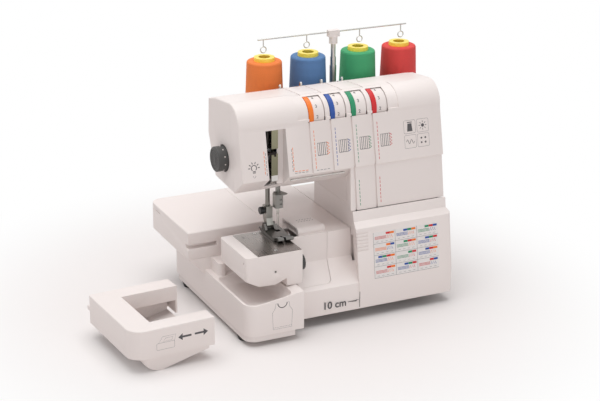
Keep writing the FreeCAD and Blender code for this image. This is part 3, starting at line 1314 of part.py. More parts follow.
def shaft_bushes():
    """Two plain bearing bushes in the frame's stands."""
    bushes = []
    for x in BUSH_SPOTS:
        bush = rod_x(SHAFT_Y, SHAFT_Z, SHAFT_RADIUS + BUSH_WALL, x, x + BUSH_LENGTH)
        bushes.append(bush.cut(rod_x(SHAFT_Y, SHAFT_Z, SHAFT_RADIUS + RUN_FIT, x - 1, x + BUSH_LENGTH + 1)))
    return bushes


def grooved_pulley(y, z, radius, teeth):
    """Toothed belt pulley between two thin flanges."""
    x0, x1 = BELT_LEFT - SEAM, BELT_LEFT + BELT_WIDTH + SEAM
    pulley = rod_x(y, z, radius, x0, x1)
    grooves = []
    for i in range(teeth):
        turn = 2 * math.pi * i / teeth
        tooth_y, tooth_z = y + radius * math.cos(turn), z + radius * math.sin(turn)
        grooves.append(rod_x(tooth_y, tooth_z, PULLEY_GROOVE, x0 - 1, x1 + 1))
    pulley = pulley.cut(Part.makeCompound(grooves))
    flange = radius + SEAM + BELT_THICK + PULLEY_GROOVE
    return fuse([pulley, rod_x(y, z, flange, x0 - FLANGE, x0), rod_x(y, z, flange, x1, x1 + FLANGE)])


def main_shaft():
    """Shaft through the bed with its belt pulley, and the looper eccentric at the left end."""
    first = BUSH_SPOTS[0]
    shaft = rod_x(SHAFT_Y, SHAFT_Z, SHAFT_RADIUS, first - SHAFT_END, BODY_RIGHT + WHEEL_WIDTH)
    eccentric = rod_x(SHAFT_Y + ECCENTRIC, SHAFT_Z, SHAFT_RADIUS + ECCENTRIC + 2,
                      first - SHAFT_END + ECCENTRIC, first - 2)
    return fuse([shaft, eccentric, grooved_pulley(SHAFT_Y, SHAFT_Z, PULLEY_RADIUS, PULLEY_TEETH)])


def motor_pulley():
    """Small pulley and motor shaft in one piece."""
    pulley = grooved_pulley(MOTOR_Y, MOTOR_Z, MOTOR_PULLEY, MOTOR_TEETH)
    end = BELT_LEFT + BELT_WIDTH + 2 * FLANGE
    return fuse([pulley, rod_x(MOTOR_Y, MOTOR_Z, MOTOR_SHAFT, MOTOR_RIGHT - 2 * MOTOR_SHAFT, end)])


def motor():
    """Drum-shaped motor on a cradle bolted to the base plate."""
    can = rod_x(MOTOR_Y, MOTOR_Z, MOTOR_RADIUS, MOTOR_LEFT, MOTOR_RIGHT)
    can = can.makeFillet(WALL, [e for e in can.Edges if e.BoundBox.XLength < 0.01])
    half = 0.6 * MOTOR_RADIUS
    cradle = box(MOTOR_LEFT + CRADLE_INSET, MOTOR_RIGHT - CRADLE_INSET, MOTOR_Y - half, MOTOR_Y + half,
                 FLOOR_TOP, MOTOR_Z - 0.7 * MOTOR_RADIUS)
    bore = rod_x(MOTOR_Y, MOTOR_Z, MOTOR_SHAFT + RUN_FIT, MOTOR_RIGHT - 2 * MOTOR_SHAFT - 1, MOTOR_RIGHT + 1)
    return fuse([can, cradle]).cut(bore)


def belt_loop(grow):
    """Tight loop round both pulleys, grown outwards."""
    big, small = PULLEY_RADIUS + grow, MOTOR_PULLEY + grow
    shaft, drive = (SHAFT_Y, SHAFT_Z), (MOTOR_Y, MOTOR_Z)
    span = math.hypot(MOTOR_Y - SHAFT_Y, MOTOR_Z - SHAFT_Z)
    way = math.atan2(MOTOR_Z - SHAFT_Z, MOTOR_Y - SHAFT_Y)
    tilt = math.acos((big - small) / span)

    def rim(centre, radius, turn):
        return (centre[0] + radius * math.cos(turn), centre[1] + radius * math.sin(turn))

    steps = [rim(shaft, big, way + tilt), (rim(shaft, big, way + math.pi), rim(shaft, big, way - tilt)),
             rim(drive, small, way - tilt), (rim(drive, small, way), rim(drive, small, way + tilt))]
    return prism("x", steps, BELT_LEFT, BELT_LEFT + BELT_WIDTH)


def drive_belt():
    """Belt round the two pulleys, drawn just clear of them."""
    return belt_loop(SEAM + BELT_THICK).cut(belt_loop(SEAM))


def handwheel():
    """Dished handwheel at the right end of the shaft, with finger flutes round its rim."""
    x0 = BODY_RIGHT + WHEEL_GAP
    x1 = x0 + WHEEL_WIDTH
    wheel = rod_x(SHAFT_Y, SHAFT_Z, WHEEL_RADIUS, x0, x1)
    wheel = wheel.makeFillet(WALL, [e for e in wheel.Edges if e.BoundBox.XLength < 0.01])
    floor = x1 - WHEEL_DISH
    dish = Part.makeCone(WHEEL_RADIUS - 2 * WHEEL_RIM, WHEEL_RADIUS - WHEEL_RIM, WHEEL_DISH + 1,
                         at(floor, SHAFT_Y, SHAFT_Z), NORMALS["x"])
    hub = rod_x(SHAFT_Y, SHAFT_Z, 2 * WHEEL_RIM, floor - 1, x1 - 1)
    flutes = []
    centre = WHEEL_RADIUS + FLUTE_RADIUS / 2
    for i in range(FLUTE_COUNT):
        turn = 2 * math.pi * i / FLUTE_COUNT
        y, z = SHAFT_Y + centre * math.cos(turn), SHAFT_Z + centre * math.sin(turn)
        flutes.append(rod_x(y, z, FLUTE_RADIUS, x0 - 1, x1 + 1))
    bore = rod_x(SHAFT_Y, SHAFT_Z, SHAFT_RADIUS, x0 - 1, BODY_RIGHT + WHEEL_WIDTH)
    return cut(wheel.cut(dish).fuse(hub), [Part.makeCompound(flutes), bore])


def needle_bar():
    """Polished bar that carries the needle clamp, with the fan-shaped thread guide."""
    bar = rod_z(0, 0, BAR_RADIUS, CLAMP_BOTTOM + CLAMP_FLOOR, NEEDLE_BAR_TOP)
    low = CLAMP_BOTTOM + CLAMP_HEIGHT + 1
    neck, wing = FAN_NECK, FAN_WING
    fan = prism("z", [(-neck, BAR_RADIUS), (-wing, -wing - 1), ((0, -wing - neck + 1), (wing, -wing - 1)),
                      (neck, BAR_RADIUS)], low, low + FAN_THICK)
    return fuse([bar, fan])


def needle_clamp():
    """Block on the end of the bar that holds both needles, with two set screws' holes in its front."""
    top = CLAMP_BOTTOM + CLAMP_HEIGHT
    half = CLAMP_HALF
    block = box(-half, half, -half, half, CLAMP_BOTTOM, top)
    block = soften(block, CLAMP_EDGE, lambda b: b.ZLength > 5 and b.XLength + b.YLength < 0.01)
    floor = CLAMP_BOTTOM + CLAMP_FLOOR
    bores = [rod_z(0, 0, BAR_RADIUS, floor, top + 1)]
    for side in (-1, 1):
        bores.append(rod_z(side * NEEDLE_PITCH / 2, 0, NEEDLE_SHANK, CLAMP_BOTTOM - 1, floor))
    for share in CLAMP_SCREWS:
        z = CLAMP_BOTTOM + share * CLAMP_HEIGHT
        bores.append(rod_y(SCREW_X, z, SCREW_HOLE, -half - 1, -half + CLAMP_EDGE))
    return cut(block, bores)


def needles():
    """Two needles: shank, blade and point."""
    pieces = []
    shank_low = CLAMP_BOTTOM - SHANK_LENGTH
    taper = shank_low - 2
    point = NEEDLE_TIP + 3
    for side in (-1, 1):
        x = side * NEEDLE_PITCH / 2
        pieces.append(fuse([rod_z(x, 0, NEEDLE_SHANK, shank_low, CLAMP_BOTTOM + CLAMP_FLOOR),
                            cone_z(x, 0, NEEDLE_BLADE, NEEDLE_SHANK, taper, shank_low),
                            rod_z(x, 0, NEEDLE_BLADE, point, taper),
                            cone_z(x, 0, NEEDLE_BLADE / 5, NEEDLE_BLADE, NEEDLE_TIP, point)]))
    return pieces


def presser_bar():
    """Bar behind the needles, with the lifting collar inside the head."""
    bar = rod_z(PRESSER_X, PRESSER_Y, PRESSER_RADIUS, HOLDER_TOP - HOLDER_GRIP, PRESSER_BAR_TOP)
    collar = rod_z(PRESSER_X, PRESSER_Y, PRESSER_RADIUS + WALL, COLLAR_TOP - COLLAR_HEIGHT, COLLAR_TOP)
    return fuse([bar, collar])


def foot_holder():
    """Holder clamped on the presser bar, cranked forward to the foot's pin, thumb screw at the left."""
    x, y = PRESSER_X, PRESSER_Y
    deep = 2 * PRESSER_RADIUS
    shin = FOOT_PIN + WALL
    grip_low = HOLDER_TOP - HOLDER_GRIP - 2
    neck = prism("x", [(y + deep, HOLDER_TOP), (y + deep, grip_low), (FOOT_PIVOT_Y + shin, FOOT_PIVOT_Z + 1),
                       ((FOOT_PIVOT_Y, FOOT_PIVOT_Z - shin), (FOOT_PIVOT_Y - shin, FOOT_PIVOT_Z)),
                       (y - deep, grip_low - 2), (y - deep, HOLDER_TOP)], x - HOLDER_HALF, x + HOLDER_HALF)
    knob_x = x - HOLDER_HALF
    knob_z = HOLDER_TOP - HOLDER_GRIP / 2
    knob = knurled_disc(y, knob_z, THUMB_RADIUS, knob_x - THUMB_WIDTH, knob_x - 1, THUMB_GRIPS,
                        GRIP_DEPTH / 2)
    stem = rod_x(y, knob_z, THUMB_RADIUS / 2, knob_x - 2, knob_x + 1)
    bore = rod_z(x, y, PRESSER_RADIUS, HOLDER_TOP - HOLDER_GRIP, HOLDER_TOP + 1)
    pin_hole = rod_x(FOOT_PIVOT_Y, FOOT_PIVOT_Z, FOOT_PIN + RUN_FIT, x - deep, x + deep)
    return cut(fuse([neck, stem, knob]), [bore, pin_hole])


def presser_foot():
    """Hinged foot: sole with upturned toes, cheeks on a cross pin, and a slot for the needles."""
    low = BED_TOP + SEAM
    toe, heel = FOOT_TOE_Y, FOOT_HEEL_Y
    thick = FOOT_SOLE
    side = [(toe, low + thick), ((toe + 2, low + 1), (toe + 2 * thick, low)), (heel - 8, low),
            (heel, low + thick), (heel, low + thick + 2), (toe + 13, low + thick), (toe + 2, low + 2 * thick)]
    sole = prism("x", side, FOOT_LEFT, KNIFE_X - 2 * SEAM)
    ahead, under, above = toe - 9, low - 1, low + 20
    toe_gap = box(FOOT_GAP_X[0], FOOT_GAP_X[1], ahead, toe + 15, under, above)
    feed_gap = box(FOOT_LEFT - 1, FOOT_LEFT + thick, ahead, toe + 9, under, above)
    half = NEEDLE_PITCH + 1
    needle_slot = box(-half, half, -half, half, under, above)
    cheeks = []
    inner = HOLDER_HALF + CHEEK_GAP
    high = FOOT_PIVOT_Z + FOOT_PIN + 1.5
    for x in (PRESSER_X - inner - WALL, PRESSER_X + inner):
        cheeks.append(prism("x", [(FOOT_PIVOT_Y - 9, low + 1), (FOOT_PIVOT_Y + 6, low + 2),
                                  (FOOT_PIVOT_Y + WALL, FOOT_PIVOT_Z),
                                  ((FOOT_PIVOT_Y, high), (FOOT_PIVOT_Y - WALL, FOOT_PIVOT_Z))], x, x + WALL))
    reach = inner + WALL - 1
    pin = rod_x(FOOT_PIVOT_Y, FOOT_PIVOT_Z, FOOT_PIN, PRESSER_X - reach, PRESSER_X + reach)
    return fuse([cut(sole, [toe_gap, needle_slot, feed_gap]), pin] + cheeks)


def presser_lifter():
    """Lever on the frame's pin, out through the slot in the back of the head."""
    y, z = LIFTER_Y, LIFTER_Z
    x0, x1 = LIFTER_X - LIFTER_HALF, LIFTER_X + LIFTER_HALF
    hub = rod_x(y, z, LIFTER_PIN + LIFTER_HALF, x0, x1)
    bend_y, tip_y = LIFTER_BEND[0], LIFTER_TIP[0]
    bend_z, tip_z = LIFTER_BEND[1], LIFTER_TIP[1]
    thick = LIFTER_THICK
    arm = prism("x", [(y, z + LIFTER_HALF), (y, z - LIFTER_HALF), (bend_y, bend_z), (tip_y, tip_z),
                      (tip_y + 2, tip_z + thick), (bend_y + 2, bend_z + thick + WALL)],
                LIFTER_X - thick / 2, LIFTER_X + thick / 2)
    pad_y = tip_y - 2 * LIFTER_PAD
    pad = prism("x", [(pad_y, tip_z + thick), (tip_y + LIFTER_HALF, tip_z), (tip_y + thick, tip_z + thick),
                      (pad_y + 1, tip_z + 2 * thick)], LIFTER_X - LIFTER_PAD, LIFTER_X + LIFTER_PAD)
    return fuse([hub, arm, pad]).cut(rod_x(y, z, LIFTER_PIN + RUN_FIT, x0 - 1, x1 + 1))


def take_up_lever():
    """Dark lever that reaches forward into the slot and ends in a hook in front of the strips."""
    y, z = TAKE_UP_Y, TAKE_UP_Z
    x0, x1 = TAKE_UP_X - TAKE_UP_HALF, TAKE_UP_X + 1
    hub = rod_x(y, z, 2 * TAKE_UP_PIN + 1, x0, x1)
    tip = TAKE_UP_TIP
    arm = prism("x", [(y, z + TAKE_UP_PIN), (tip, z + 1), (tip, z - 2), (y, z - TAKE_UP_PIN)], x0, x1)
    hook_end = STRIP_LEFT + STRIP_WIDTH / 2
    back = tip + TAKE_UP_PIN
    hook = box(x0, hook_end, tip, back, z - 2, z + 1)
    barb = box(hook_end - 2, hook_end, tip, back, z - 2 * TAKE_UP_PIN, z + 1)
    return fuse([hub, arm, hook, barb]).cut(rod_x(y, z, TAKE_UP_PIN + RUN_FIT, x0 - 1, x1 + 1))


def looper(y, rise):
    """Looper: hub on a cross pin, arm to the left under the plate, and a curved blade."""
    x, z = LOOPER_PIVOT_X, LOOPER_PIVOT_Z
    high = z + rise
    half = LOOPER_THICK / 2
    near, tip = LOOPER_NEAR, LOOPER_TIP
    mid = (near + tip) / 2
    hub = rod_y(x, z, 2 * LOOPER_PIN, y - half, y + half)
    arm = prism("y", [(x, z + 3), (near, high + 3), (near, high - 3), (x, z - 4)], y - half, y + half)
    blade = prism("y", [(near + 1, high + 3), ((mid, high + 3.5), (tip + 2, high + 1)), (tip, high),
                        ((mid, high - 2.3), (near + 1, high - 3))], y - half / 2, y + half / 2)
    return fuse([hub, arm, blade]).cut(rod_y(x, z, LOOPER_PIN + RUN_FIT, y - half - 1, y + half + 1))


def looper_post():
    """Cross pin for both loopers, on a post that runs into the frame's sole."""
    x0, x1 = LOOPER_PIVOT_X - LOOPER_PIN - 2, LOOPER_PIVOT_X + LOOPER_PIN + 2
    front, back = LOOPER_POST_Y
    high = LOOPER_PIVOT_Z + LOOPER_PIN + 2
    foot = SHAFT_Y - SOLE_HALF + 2
    pin = rod_y(LOOPER_PIVOT_X, LOOPER_PIVOT_Z, LOOPER_PIN, UPPER_LOOPER_Y - LOOPER_THICK, back)
    post = prism("x", [(front, high), (front, FLOOR_TOP), (foot, FLOOR_TOP), (foot, FLOOR_TOP + SOLE_THICK),
                       (back, FLOOR_TOP + 3 * SOLE_THICK), (back, high)], x0, x1)
    return fuse([pin, post])


def upper_knife():
    """Moving knife beside the plate."""
    front, back = KNIFE_FRONT, KNIFE_BACK
    return prism("x", [(front, KNIFE_LOW), (back, KNIFE_LOW), (back, BED_TOP + KNIFE_PROUD),
                       (front + 2, BED_TOP + KNIFE_PROUD - 2), (front, BED_TOP - WALL)],
                 KNIFE_X, KNIFE_X + KNIFE_THICK)


def lower_knife():
    """Fixed knife set against the right edge of the plate."""
    return box(ARM_RIGHT + SEAT_GAP, KNIFE_X - RUN_FIT, KNIFE_FRONT, KNIFE_BACK, KNIFE_LOW, BED_TOP)


def spool_stand():
    """Tray behind the head for four cones, on two gussets from the column's back."""
    back = SPOOL_Y + STAND_BACK
    plate = box(SPOOL_X[0] - STAND_SIDE, SPOOL_X[-1] + STAND_SIDE, COLUMN_BACK, back, STAND_Z, STAND_TOP)
    plate = soften(plate, STAND_CORNER, lambda b: b.ZLength > 3 and b.XLength + b.YLength < 0.01
                   and b.YMin > COLUMN_BACK + 5)
    gussets = []
    reach = back - STAND_CORNER - 2
    for x in (COLUMN_LEFT + GUSSET_INSET, BODY_RIGHT - GUSSET_INSET - STAND_THICK):
        gussets.append(prism("x", [(COLUMN_BACK, STAND_Z + 1), (COLUMN_BACK, STAND_Z - GUSSET_DEPTH),
                                   (reach, STAND_Z - STAND_THICK), (reach, STAND_Z + 1)], x, x + STAND_THICK))
    boss = rod_z(POLE_X, SPOOL_Y, POLE_RADII[0] + POLE_BOSS, POLE_FOOT - 2, STAND_TOP + POLE_BOSS - 1)
    holes = [rod_z(x, SPOOL_Y, SPOOL_PIN, STAND_Z - 1, STAND_TOP + 1) for x in SPOOL_X]
    pole = rod_z(POLE_X, SPOOL_Y, POLE_RADII[0], POLE_FOOT, STAND_TOP + POLE_BOSS)
    return cut(fuse([plate, boss] + gussets), holes + [pole])


def spool_pins():
    """Four pins, each with the round seat that a cone stands on."""
    pins = []
    top = CONE_SEAT + CONE_HEIGHT - PIN_DROP
    for x in SPOOL_X:
        pin = rod_z(x, SPOOL_Y, SPOOL_PIN, STAND_Z, top)
        seat = rod_z(x, SPOOL_Y, CORE_FOOT + SEAT_RIM, STAND_TOP, STAND_TOP + SEAT_THICK)
        holder = cone_z(x, SPOOL_Y, CORE_FOOT - SEAT_RIM, CORE_HOLE - CORE_SIDE, STAND_TOP + 1,
                        top - HOLDER_DROP)
        pins.append(fuse([pin, seat, holder]))
    return pins


def thread_cone(x):
    """Hollow cone and the thread wound on it."""
    top = CONE_SEAT + CONE_HEIGHT
    core = cone_z(x, SPOOL_Y, CORE_FOOT, CORE_TOP, CONE_SEAT, top)
    bore = cone_z(x, SPOOL_Y, CORE_FOOT - CORE_WALL, CORE_HOLE, CONE_SEAT - 0.01, top + 0.01)
    thread = cone_z(x, SPOOL_Y, CONE_FOOT, CONE_TOP, CONE_SEAT + CONE_BARE, top - CONE_BARE)
    thread = thread.makeFillet(CONE_EDGE, [e for e in thread.Edges if e.BoundBox.ZLength < 0.01])
    return [core.cut(bore), thread.cut(core)]


def pole_tube(radius, z0, z1):
    tube = rod_z(POLE_X, SPOOL_Y, radius, z0, z1)
    return tube.cut(rod_z(POLE_X, SPOOL_Y, radius - POLE_TUBE, z0 - 1, z1 + 1))


def guide_pole(step):
    """One section of the telescopic pole; the upper sections slide in the one below."""
    foot = POLE_FOOT + POLE_STEP * step
    if step == len(POLE_RADII) - 1:
        return rod_z(POLE_X, SPOOL_Y, POLE_RADII[step], foot, POLE_TOPS[step])
    return pole_tube(POLE_RADII[step], foot, POLE_TOPS[step])


def guide_cap():
    """White cap on top of the pole that holds the guide bar."""
    top = POLE_TOPS[-1]
    low = top - CAP_GRIP
    half = CAP_HALF
    collar = rod_z(POLE_X, SPOOL_Y, POLE_RADII[-1] + CAP_WALL, low, top + CAP_WALL)
    head = box(POLE_X - half, POLE_X + half, SPOOL_Y - half / 2, SPOOL_Y + half / 2, top + CAP_WALL - 1,
               GUIDE_Z + CAP_WALL)
    socket = rod_z(POLE_X, SPOOL_Y, POLE_RADII[-1] + RUN_FIT, low - 1, top + RUN_FIT)
    wire_hole = rod_x(SPOOL_Y, GUIDE_Z, GUIDE_WIRE, POLE_X - half - 1, POLE_X + half + 1)
    return cut(fuse([collar, head]), [socket, wire_hole])


def guide_eyes():
    """Middles of the thread eyes along the guide bar."""
    reach = GUIDE_LENGTH / 2 - 2 * LOOP_RADIUS
    return [POLE_X + reach * share for share in EYE_SHARES]


def guide_bar():
    """Wire bar with a thread eye hanging over each cone."""
    half = GUIDE_LENGTH / 2
    pieces = [rod_x(SPOOL_Y, GUIDE_Z, GUIDE_WIRE, POLE_X - half, POLE_X + half)]
    eye_z = GUIDE_Z - EYE_DROP
    for x in guide_eyes():
        pieces.append(Part.makeTorus(LOOP_RADIUS, LOOP_WIRE, at(x, SPOOL_Y, eye_z), NORMALS["y"]))
        pieces.append(rod_z(x, SPOOL_Y, LOOP_WIRE, eye_z + LOOP_RADIUS - SEAM, GUIDE_Z))
    return fuse(pieces)


def tray_deck(right, low):
    """U-shaped deck of the extension table with its outer wall and a shallow rim round the mouth."""
    deck = box(0, right, 0, TRAY_WIDTH, low, TRAY_TOP)
    deck = soften(deck, TRAY_CORNER, upright_at(0, 0))
    deck = soften(deck, TRAY_REAR_CORNER, upright_at(0, TRAY_WIDTH))
    deck = soften(deck, TABLE_EDGE, lambda b: abs(b.ZMin - TRAY_TOP) + b.ZLength < 0.01)
    wall = TABLE_WALL
    inner = box(wall, right - wall, wall, TRAY_WIDTH - wall, low - 1, TRAY_TOP - wall)
    inner = soften(inner, TRAY_CORNER - wall, upright_at(wall, wall))
    back = TRAY_WIDTH - TRAY_BACK_BAR
    mouth = box(TRAY_SIDE, right + 1, TRAY_FRONT_BAR, back, low - 1, TRAY_TOP + 1)
    rim = box(TRAY_SIDE - wall, right, TRAY_FRONT_BAR - wall, back + wall, TRAY_TOP - TRAY_RIM, TRAY_TOP - 1)
    return fuse([deck.cut(inner), rim]).cut(mouth)


def hopper_line(right, low, inset):
    """Front outline of the scrap hopper, moved inwards: round left side, low nose, long slope."""
    over = 1 if inset else 0
    left, high = HOPPER_LEFT + inset, TRAY_TOP - TABLE_WALL / 2 + over
    end, lip = right - HOPPER_END + over, low - HOPPER_LIP + inset
    return [(left, high), (left, low), ((left + HOPPER_ROUND, HOPPER_ROUND + inset), (HOPPER_NOSE, inset)),
            (HOPPER_NOSE + HOPPER_LIP, inset), (end, lip), (end, high)]


def scrap_hopper(right, low):
    """Scrap hopper under the deck, open to the right where the free arm comes in."""
    front, back = HOPPER_FRONT, TRAY_WIDTH - HOPPER_FRONT
    wall = HOPPER_WALL
    hopper = prism("y", hopper_line(right, low, 0), front, back)
    plan = box(HOPPER_LEFT, right, front, back, 0, TRAY_TOP)
    plan = soften(plan, HOPPER_CORNER, upright_at(HOPPER_LEFT, front))
    plan = soften(plan, HOPPER_CORNER, upright_at(HOPPER_LEFT, back))
    bowl = prism("y", hopper_line(right, low, wall), front + wall, back - wall)
    return hopper.common(plan).cut(bowl)


def extension_table():
    """Slip-on table: U-shaped deck with hollow legs, a scrap hopper under its opening, and the tongue."""
    right = TRAY_LENGTH
    low = TRAY_TOP - SLAB_THICKNESS
    tongue_low = low + GROOVE_LOW + (GROOVE_HEIGHT - TONGUE_THICK) / 2
    tongue = box(TONGUE_INSET, right - TRAY_SIDE, TRAY_WIDTH - 1, TRAY_WIDTH + TONGUE_OUT, tongue_low,
                 tongue_low + TONGUE_THICK)
    table = fuse([tray_deck(right, low), scrap_hopper(right, low), tongue])
    table.rotate(at(0, 0, 0), NORMALS["z"], TRAY_TURN)
    table.translate(at(TRAY_X, TRAY_Y, 0))
    return table


def build():
    """All nodes by name, each a shape or a list of shapes, in the needle's frame."""
    nodes = {
        "base_plate": base_plate(),
        "rubber_feet": rubber_feet(),
        "base_shell": base_shell(),
        "rear_table": rear_table(),
        "bed_cover": bed_cover(),
        "looper_guard": looper_guard(),
        "free_arm": free_arm(),
        "needle_plate": needle_plate(),
        "feed_dogs": feed_dogs(),
        "looper_side_panel": looper_side_panel(),
        "front_cover": front_cover(),
        "cutting_width_dial": cutting_width_dial(),
        "lower_rear_housing": lower_rear_housing(),
        "stitch_length_dial": stitch_length_dial(),
        "power_inlet": power_inlet(),
        "power_switch": power_switch(),
        "head_front_cover": head_front_cover(),
        "head_rear_cover": head_rear_cover(),
        "pressure_dial": pressure_dial(),
        "tension_spindle": tension_spindle(),
        "thread_guides": thread_guides(),
        "main_frame": main_frame(),
        "shaft_bushes": shaft_bushes(),
        "main_shaft": main_shaft(),
        "drive_belt": drive_belt(),
        "motor": motor(),
        "motor_pulley": motor_pulley(),
        "handwheel": handwheel(),
        "needle_bar": needle_bar(),
        "needle_clamp": needle_clamp(),
        "needles": needles(),
        "presser_bar": presser_bar(),
        "foot_holder": foot_holder(),
        "presser_foot": presser_foot(),
        "presser_lifter": presser_lifter(),
        "take_up_lever": take_up_lever(),
        "upper_looper": looper(UPPER_LOOPER_Y, UPPER_LOOPER_RISE),
        "lower_looper": looper(LOWER_LOOPER_Y, LOWER_LOOPER_RISE),
        "upper_knife": upper_knife(),
        "lower_knife": lower_knife(),
        "spool_stand": spool_stand(),
        "spool_pins": spool_pins(),
        "guide_cap": guide_cap(),
        "guide_bar": guide_bar(),
        "extension_table": extension_table(),
    }
    for i, left in enumerate(DIAL_LEFTS):
        nodes[f"tension_drum_{i + 1}"] = tension_drum(left)
        nodes[f"tension_ring_{i + 1}"] = tension_ring(left)
        nodes[f"thread_cone_{i + 1}"] = thread_cone(SPOOL_X[i])
    for step, name in enumerate(("guide_pole_lower", "guide_pole_middle", "guide_pole_upper")):
        nodes[name] = guide_pole(step)
    for name, shape in nodes.items():
        if isinstance(shape, list):
            nodes[name] = Part.makeCompound(shape)
    return nodes


def centred(nodes):
    """Move every node so that the origin is the middle of the whole set on the floor; return the move too."""
    whole = Part.makeCompound(list(nodes.values())).optimalBoundingBox(False, False)
    move = at(-(whole.XMin + whole.XMax) / 2, -(whole.YMin + whole.YMax) / 2, -whole.ZMin)
    for shape in nodes.values():
        shape.translate(move)
    return nodes, move


def main():
    os.makedirs("parts", exist_ok=True)
    nodes, _ = centred(build())
    for name, shape in nodes.items():
        shape.exportStep(f"parts/{name}.step")


if __name__ == "__main__":
    main()
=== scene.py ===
"""Looks of a four-thread overlock machine with its slip-on table taken off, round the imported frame."""
import json
import math

import bpy
from mathutils import Matrix, Vector

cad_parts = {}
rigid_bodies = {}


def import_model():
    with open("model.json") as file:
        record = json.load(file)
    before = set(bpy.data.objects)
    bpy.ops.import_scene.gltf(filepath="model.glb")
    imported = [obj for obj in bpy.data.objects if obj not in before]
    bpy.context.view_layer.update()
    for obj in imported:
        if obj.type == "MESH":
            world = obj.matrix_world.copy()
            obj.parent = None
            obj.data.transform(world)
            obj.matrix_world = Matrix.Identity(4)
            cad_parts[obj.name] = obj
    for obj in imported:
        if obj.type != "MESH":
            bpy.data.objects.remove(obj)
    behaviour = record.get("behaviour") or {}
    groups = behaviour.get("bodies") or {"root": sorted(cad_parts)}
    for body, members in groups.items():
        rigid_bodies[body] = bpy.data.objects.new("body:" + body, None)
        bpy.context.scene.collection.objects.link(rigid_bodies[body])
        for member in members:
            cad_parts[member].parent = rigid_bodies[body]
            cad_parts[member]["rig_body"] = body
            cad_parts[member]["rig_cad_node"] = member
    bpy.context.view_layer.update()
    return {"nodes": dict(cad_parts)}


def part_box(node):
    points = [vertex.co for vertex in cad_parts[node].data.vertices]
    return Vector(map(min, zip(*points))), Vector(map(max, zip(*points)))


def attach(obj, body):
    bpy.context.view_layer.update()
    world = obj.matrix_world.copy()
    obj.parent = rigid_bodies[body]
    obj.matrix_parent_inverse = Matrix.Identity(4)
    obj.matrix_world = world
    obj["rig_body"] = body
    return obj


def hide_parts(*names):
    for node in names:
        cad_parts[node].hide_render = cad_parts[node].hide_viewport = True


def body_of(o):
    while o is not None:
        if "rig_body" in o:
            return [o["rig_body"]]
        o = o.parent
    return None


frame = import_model()

bl_info = {
    "name": "Overlock machine",
    "version": (1, 0, 0),
    "blender": (4, 5, 0),
    "location": "View3D > Sidebar > Overlock",
    "description": "Finishes, marks and studio for an overlock machine",
    "category": "Object",
}

MM = 0.001
CLAMP_LOW, CLAMP_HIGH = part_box("needle_clamp")
NEEDLE = (CLAMP_LOW + CLAMP_HIGH) / 2
THREADS = ("orange", "blue", "green", "red")


def spot(x, y, z):
    """Point in the frame, from millimetres right of, behind and above the foot of the needles' line."""
    return Vector((NEEDLE.x + x * MM, NEEDLE.y + y * MM, z * MM))


class Wire:
    """An output of a shader node. Sums on it add Math nodes."""

    def __init__(self, finish, socket):
        self.finish = finish
        self.socket = socket

    def math(self, operation, *values):
        return self.finish.node("ShaderNodeMath", {"operation": operation}, dict(enumerate(values)))

    def __add__(self, other):
        return self.math("ADD", self, other)

    def __radd__(self, other):
        return self.math("ADD", other, self)

    def __sub__(self, other):
        return self.math("SUBTRACT", self, other)

    def __rsub__(self, other):
        return self.math("SUBTRACT", other, self)

    def __mul__(self, other):
        return self.math("MULTIPLY", self, other)

    def __rmul__(self, other):
        return self.math("MULTIPLY", other, self)

    def __truediv__(self, other):
        return self.math("DIVIDE", self, other)

    def __lt__(self, other):
        return self.math("LESS_THAN", self, other)

    def __gt__(self, other):
        return self.math("GREATER_THAN", self, other)

    def sine(self):
        return self.math("SINE", self)

    def larger(self, other):
        return self.math("MAXIMUM", self, other)


class Finish:
    """A material with one Principled shader."""

    def __init__(self, name, **constants):
        self.material = bpy.data.materials.new(name)
        self.material.use_nodes = True
        self.tree = self.material.node_tree
        self.shader = self.tree.nodes["Principled BSDF"]
        self.output = self.tree.nodes["Material Output"]
        self.set(**constants)

    def set(self, **values):
        """Values or wires for the shader's sockets; an underscore stands for a space in a socket's name."""
        for name, value in values.items():
            self.connect(value, self.shader.inputs[name.replace("_", " ")])

    def connect(self, value, socket):
        if isinstance(value, Wire):
            self.tree.links.new(value.socket, socket)
        elif isinstance(value, tuple) and len(value) == 3 and socket.type == "RGBA":
            socket.default_value = (*value, 1)
        else:
            socket.default_value = value

    def node(self, kind, settings=None, sockets=None, output=0):
        made = self.tree.nodes.new(kind)
        for name, value in (settings or {}).items():
            setattr(made, name, value)
        for name, value in (sockets or {}).items():
            self.connect(value, made.inputs[name])
        return Wire(self, made.outputs[output])

    def here(self, scale=(1, 1, 1), shift=(0, 0, 0)):
        """Object coordinates, scaled and shifted."""
        point = self.node("ShaderNodeTexCoord", output="Object")
        return self.node("ShaderNodeMapping", {"vector_type": "POINT"},
                         {"Vector": point, "Location": shift, "Scale": scale})

    def noise(self, scale, detail=2.0, stretch=(1, 1, 1)):
        return self.node("ShaderNodeTexNoise", None,
                         {"Vector": self.here(stretch), "Scale": scale, "Detail": detail}, "Fac")

    def parts(self, vector):
        """The three coordinates of a vector."""
        split = self.node("ShaderNodeSeparateXYZ", None, {"Vector": vector}).socket.node
        return [Wire(self, output) for output in split.outputs]

    def reach(self, first, second):
        """Distance from an axis, from the two coordinates across it."""
        square = first * first + second * second
        return square.math("SQRT", square)

    def blend(self, share, low, high):
        """Colour between two colours."""
        return self.node("ShaderNodeMix", {"data_type": "RGBA"}, {"Factor": share, "A": low, "B": high}, 2)

    def bump(self, height, depth):
        inputs = {"Height": height, "Strength": 1.0, "Distance": depth}
        self.set(Normal=self.node("ShaderNodeBump", None, inputs))

    def between(self, wire, low, high):
        return low + wire * (high - low)


def darker(colour, share):
    return tuple(value * share for value in colour)


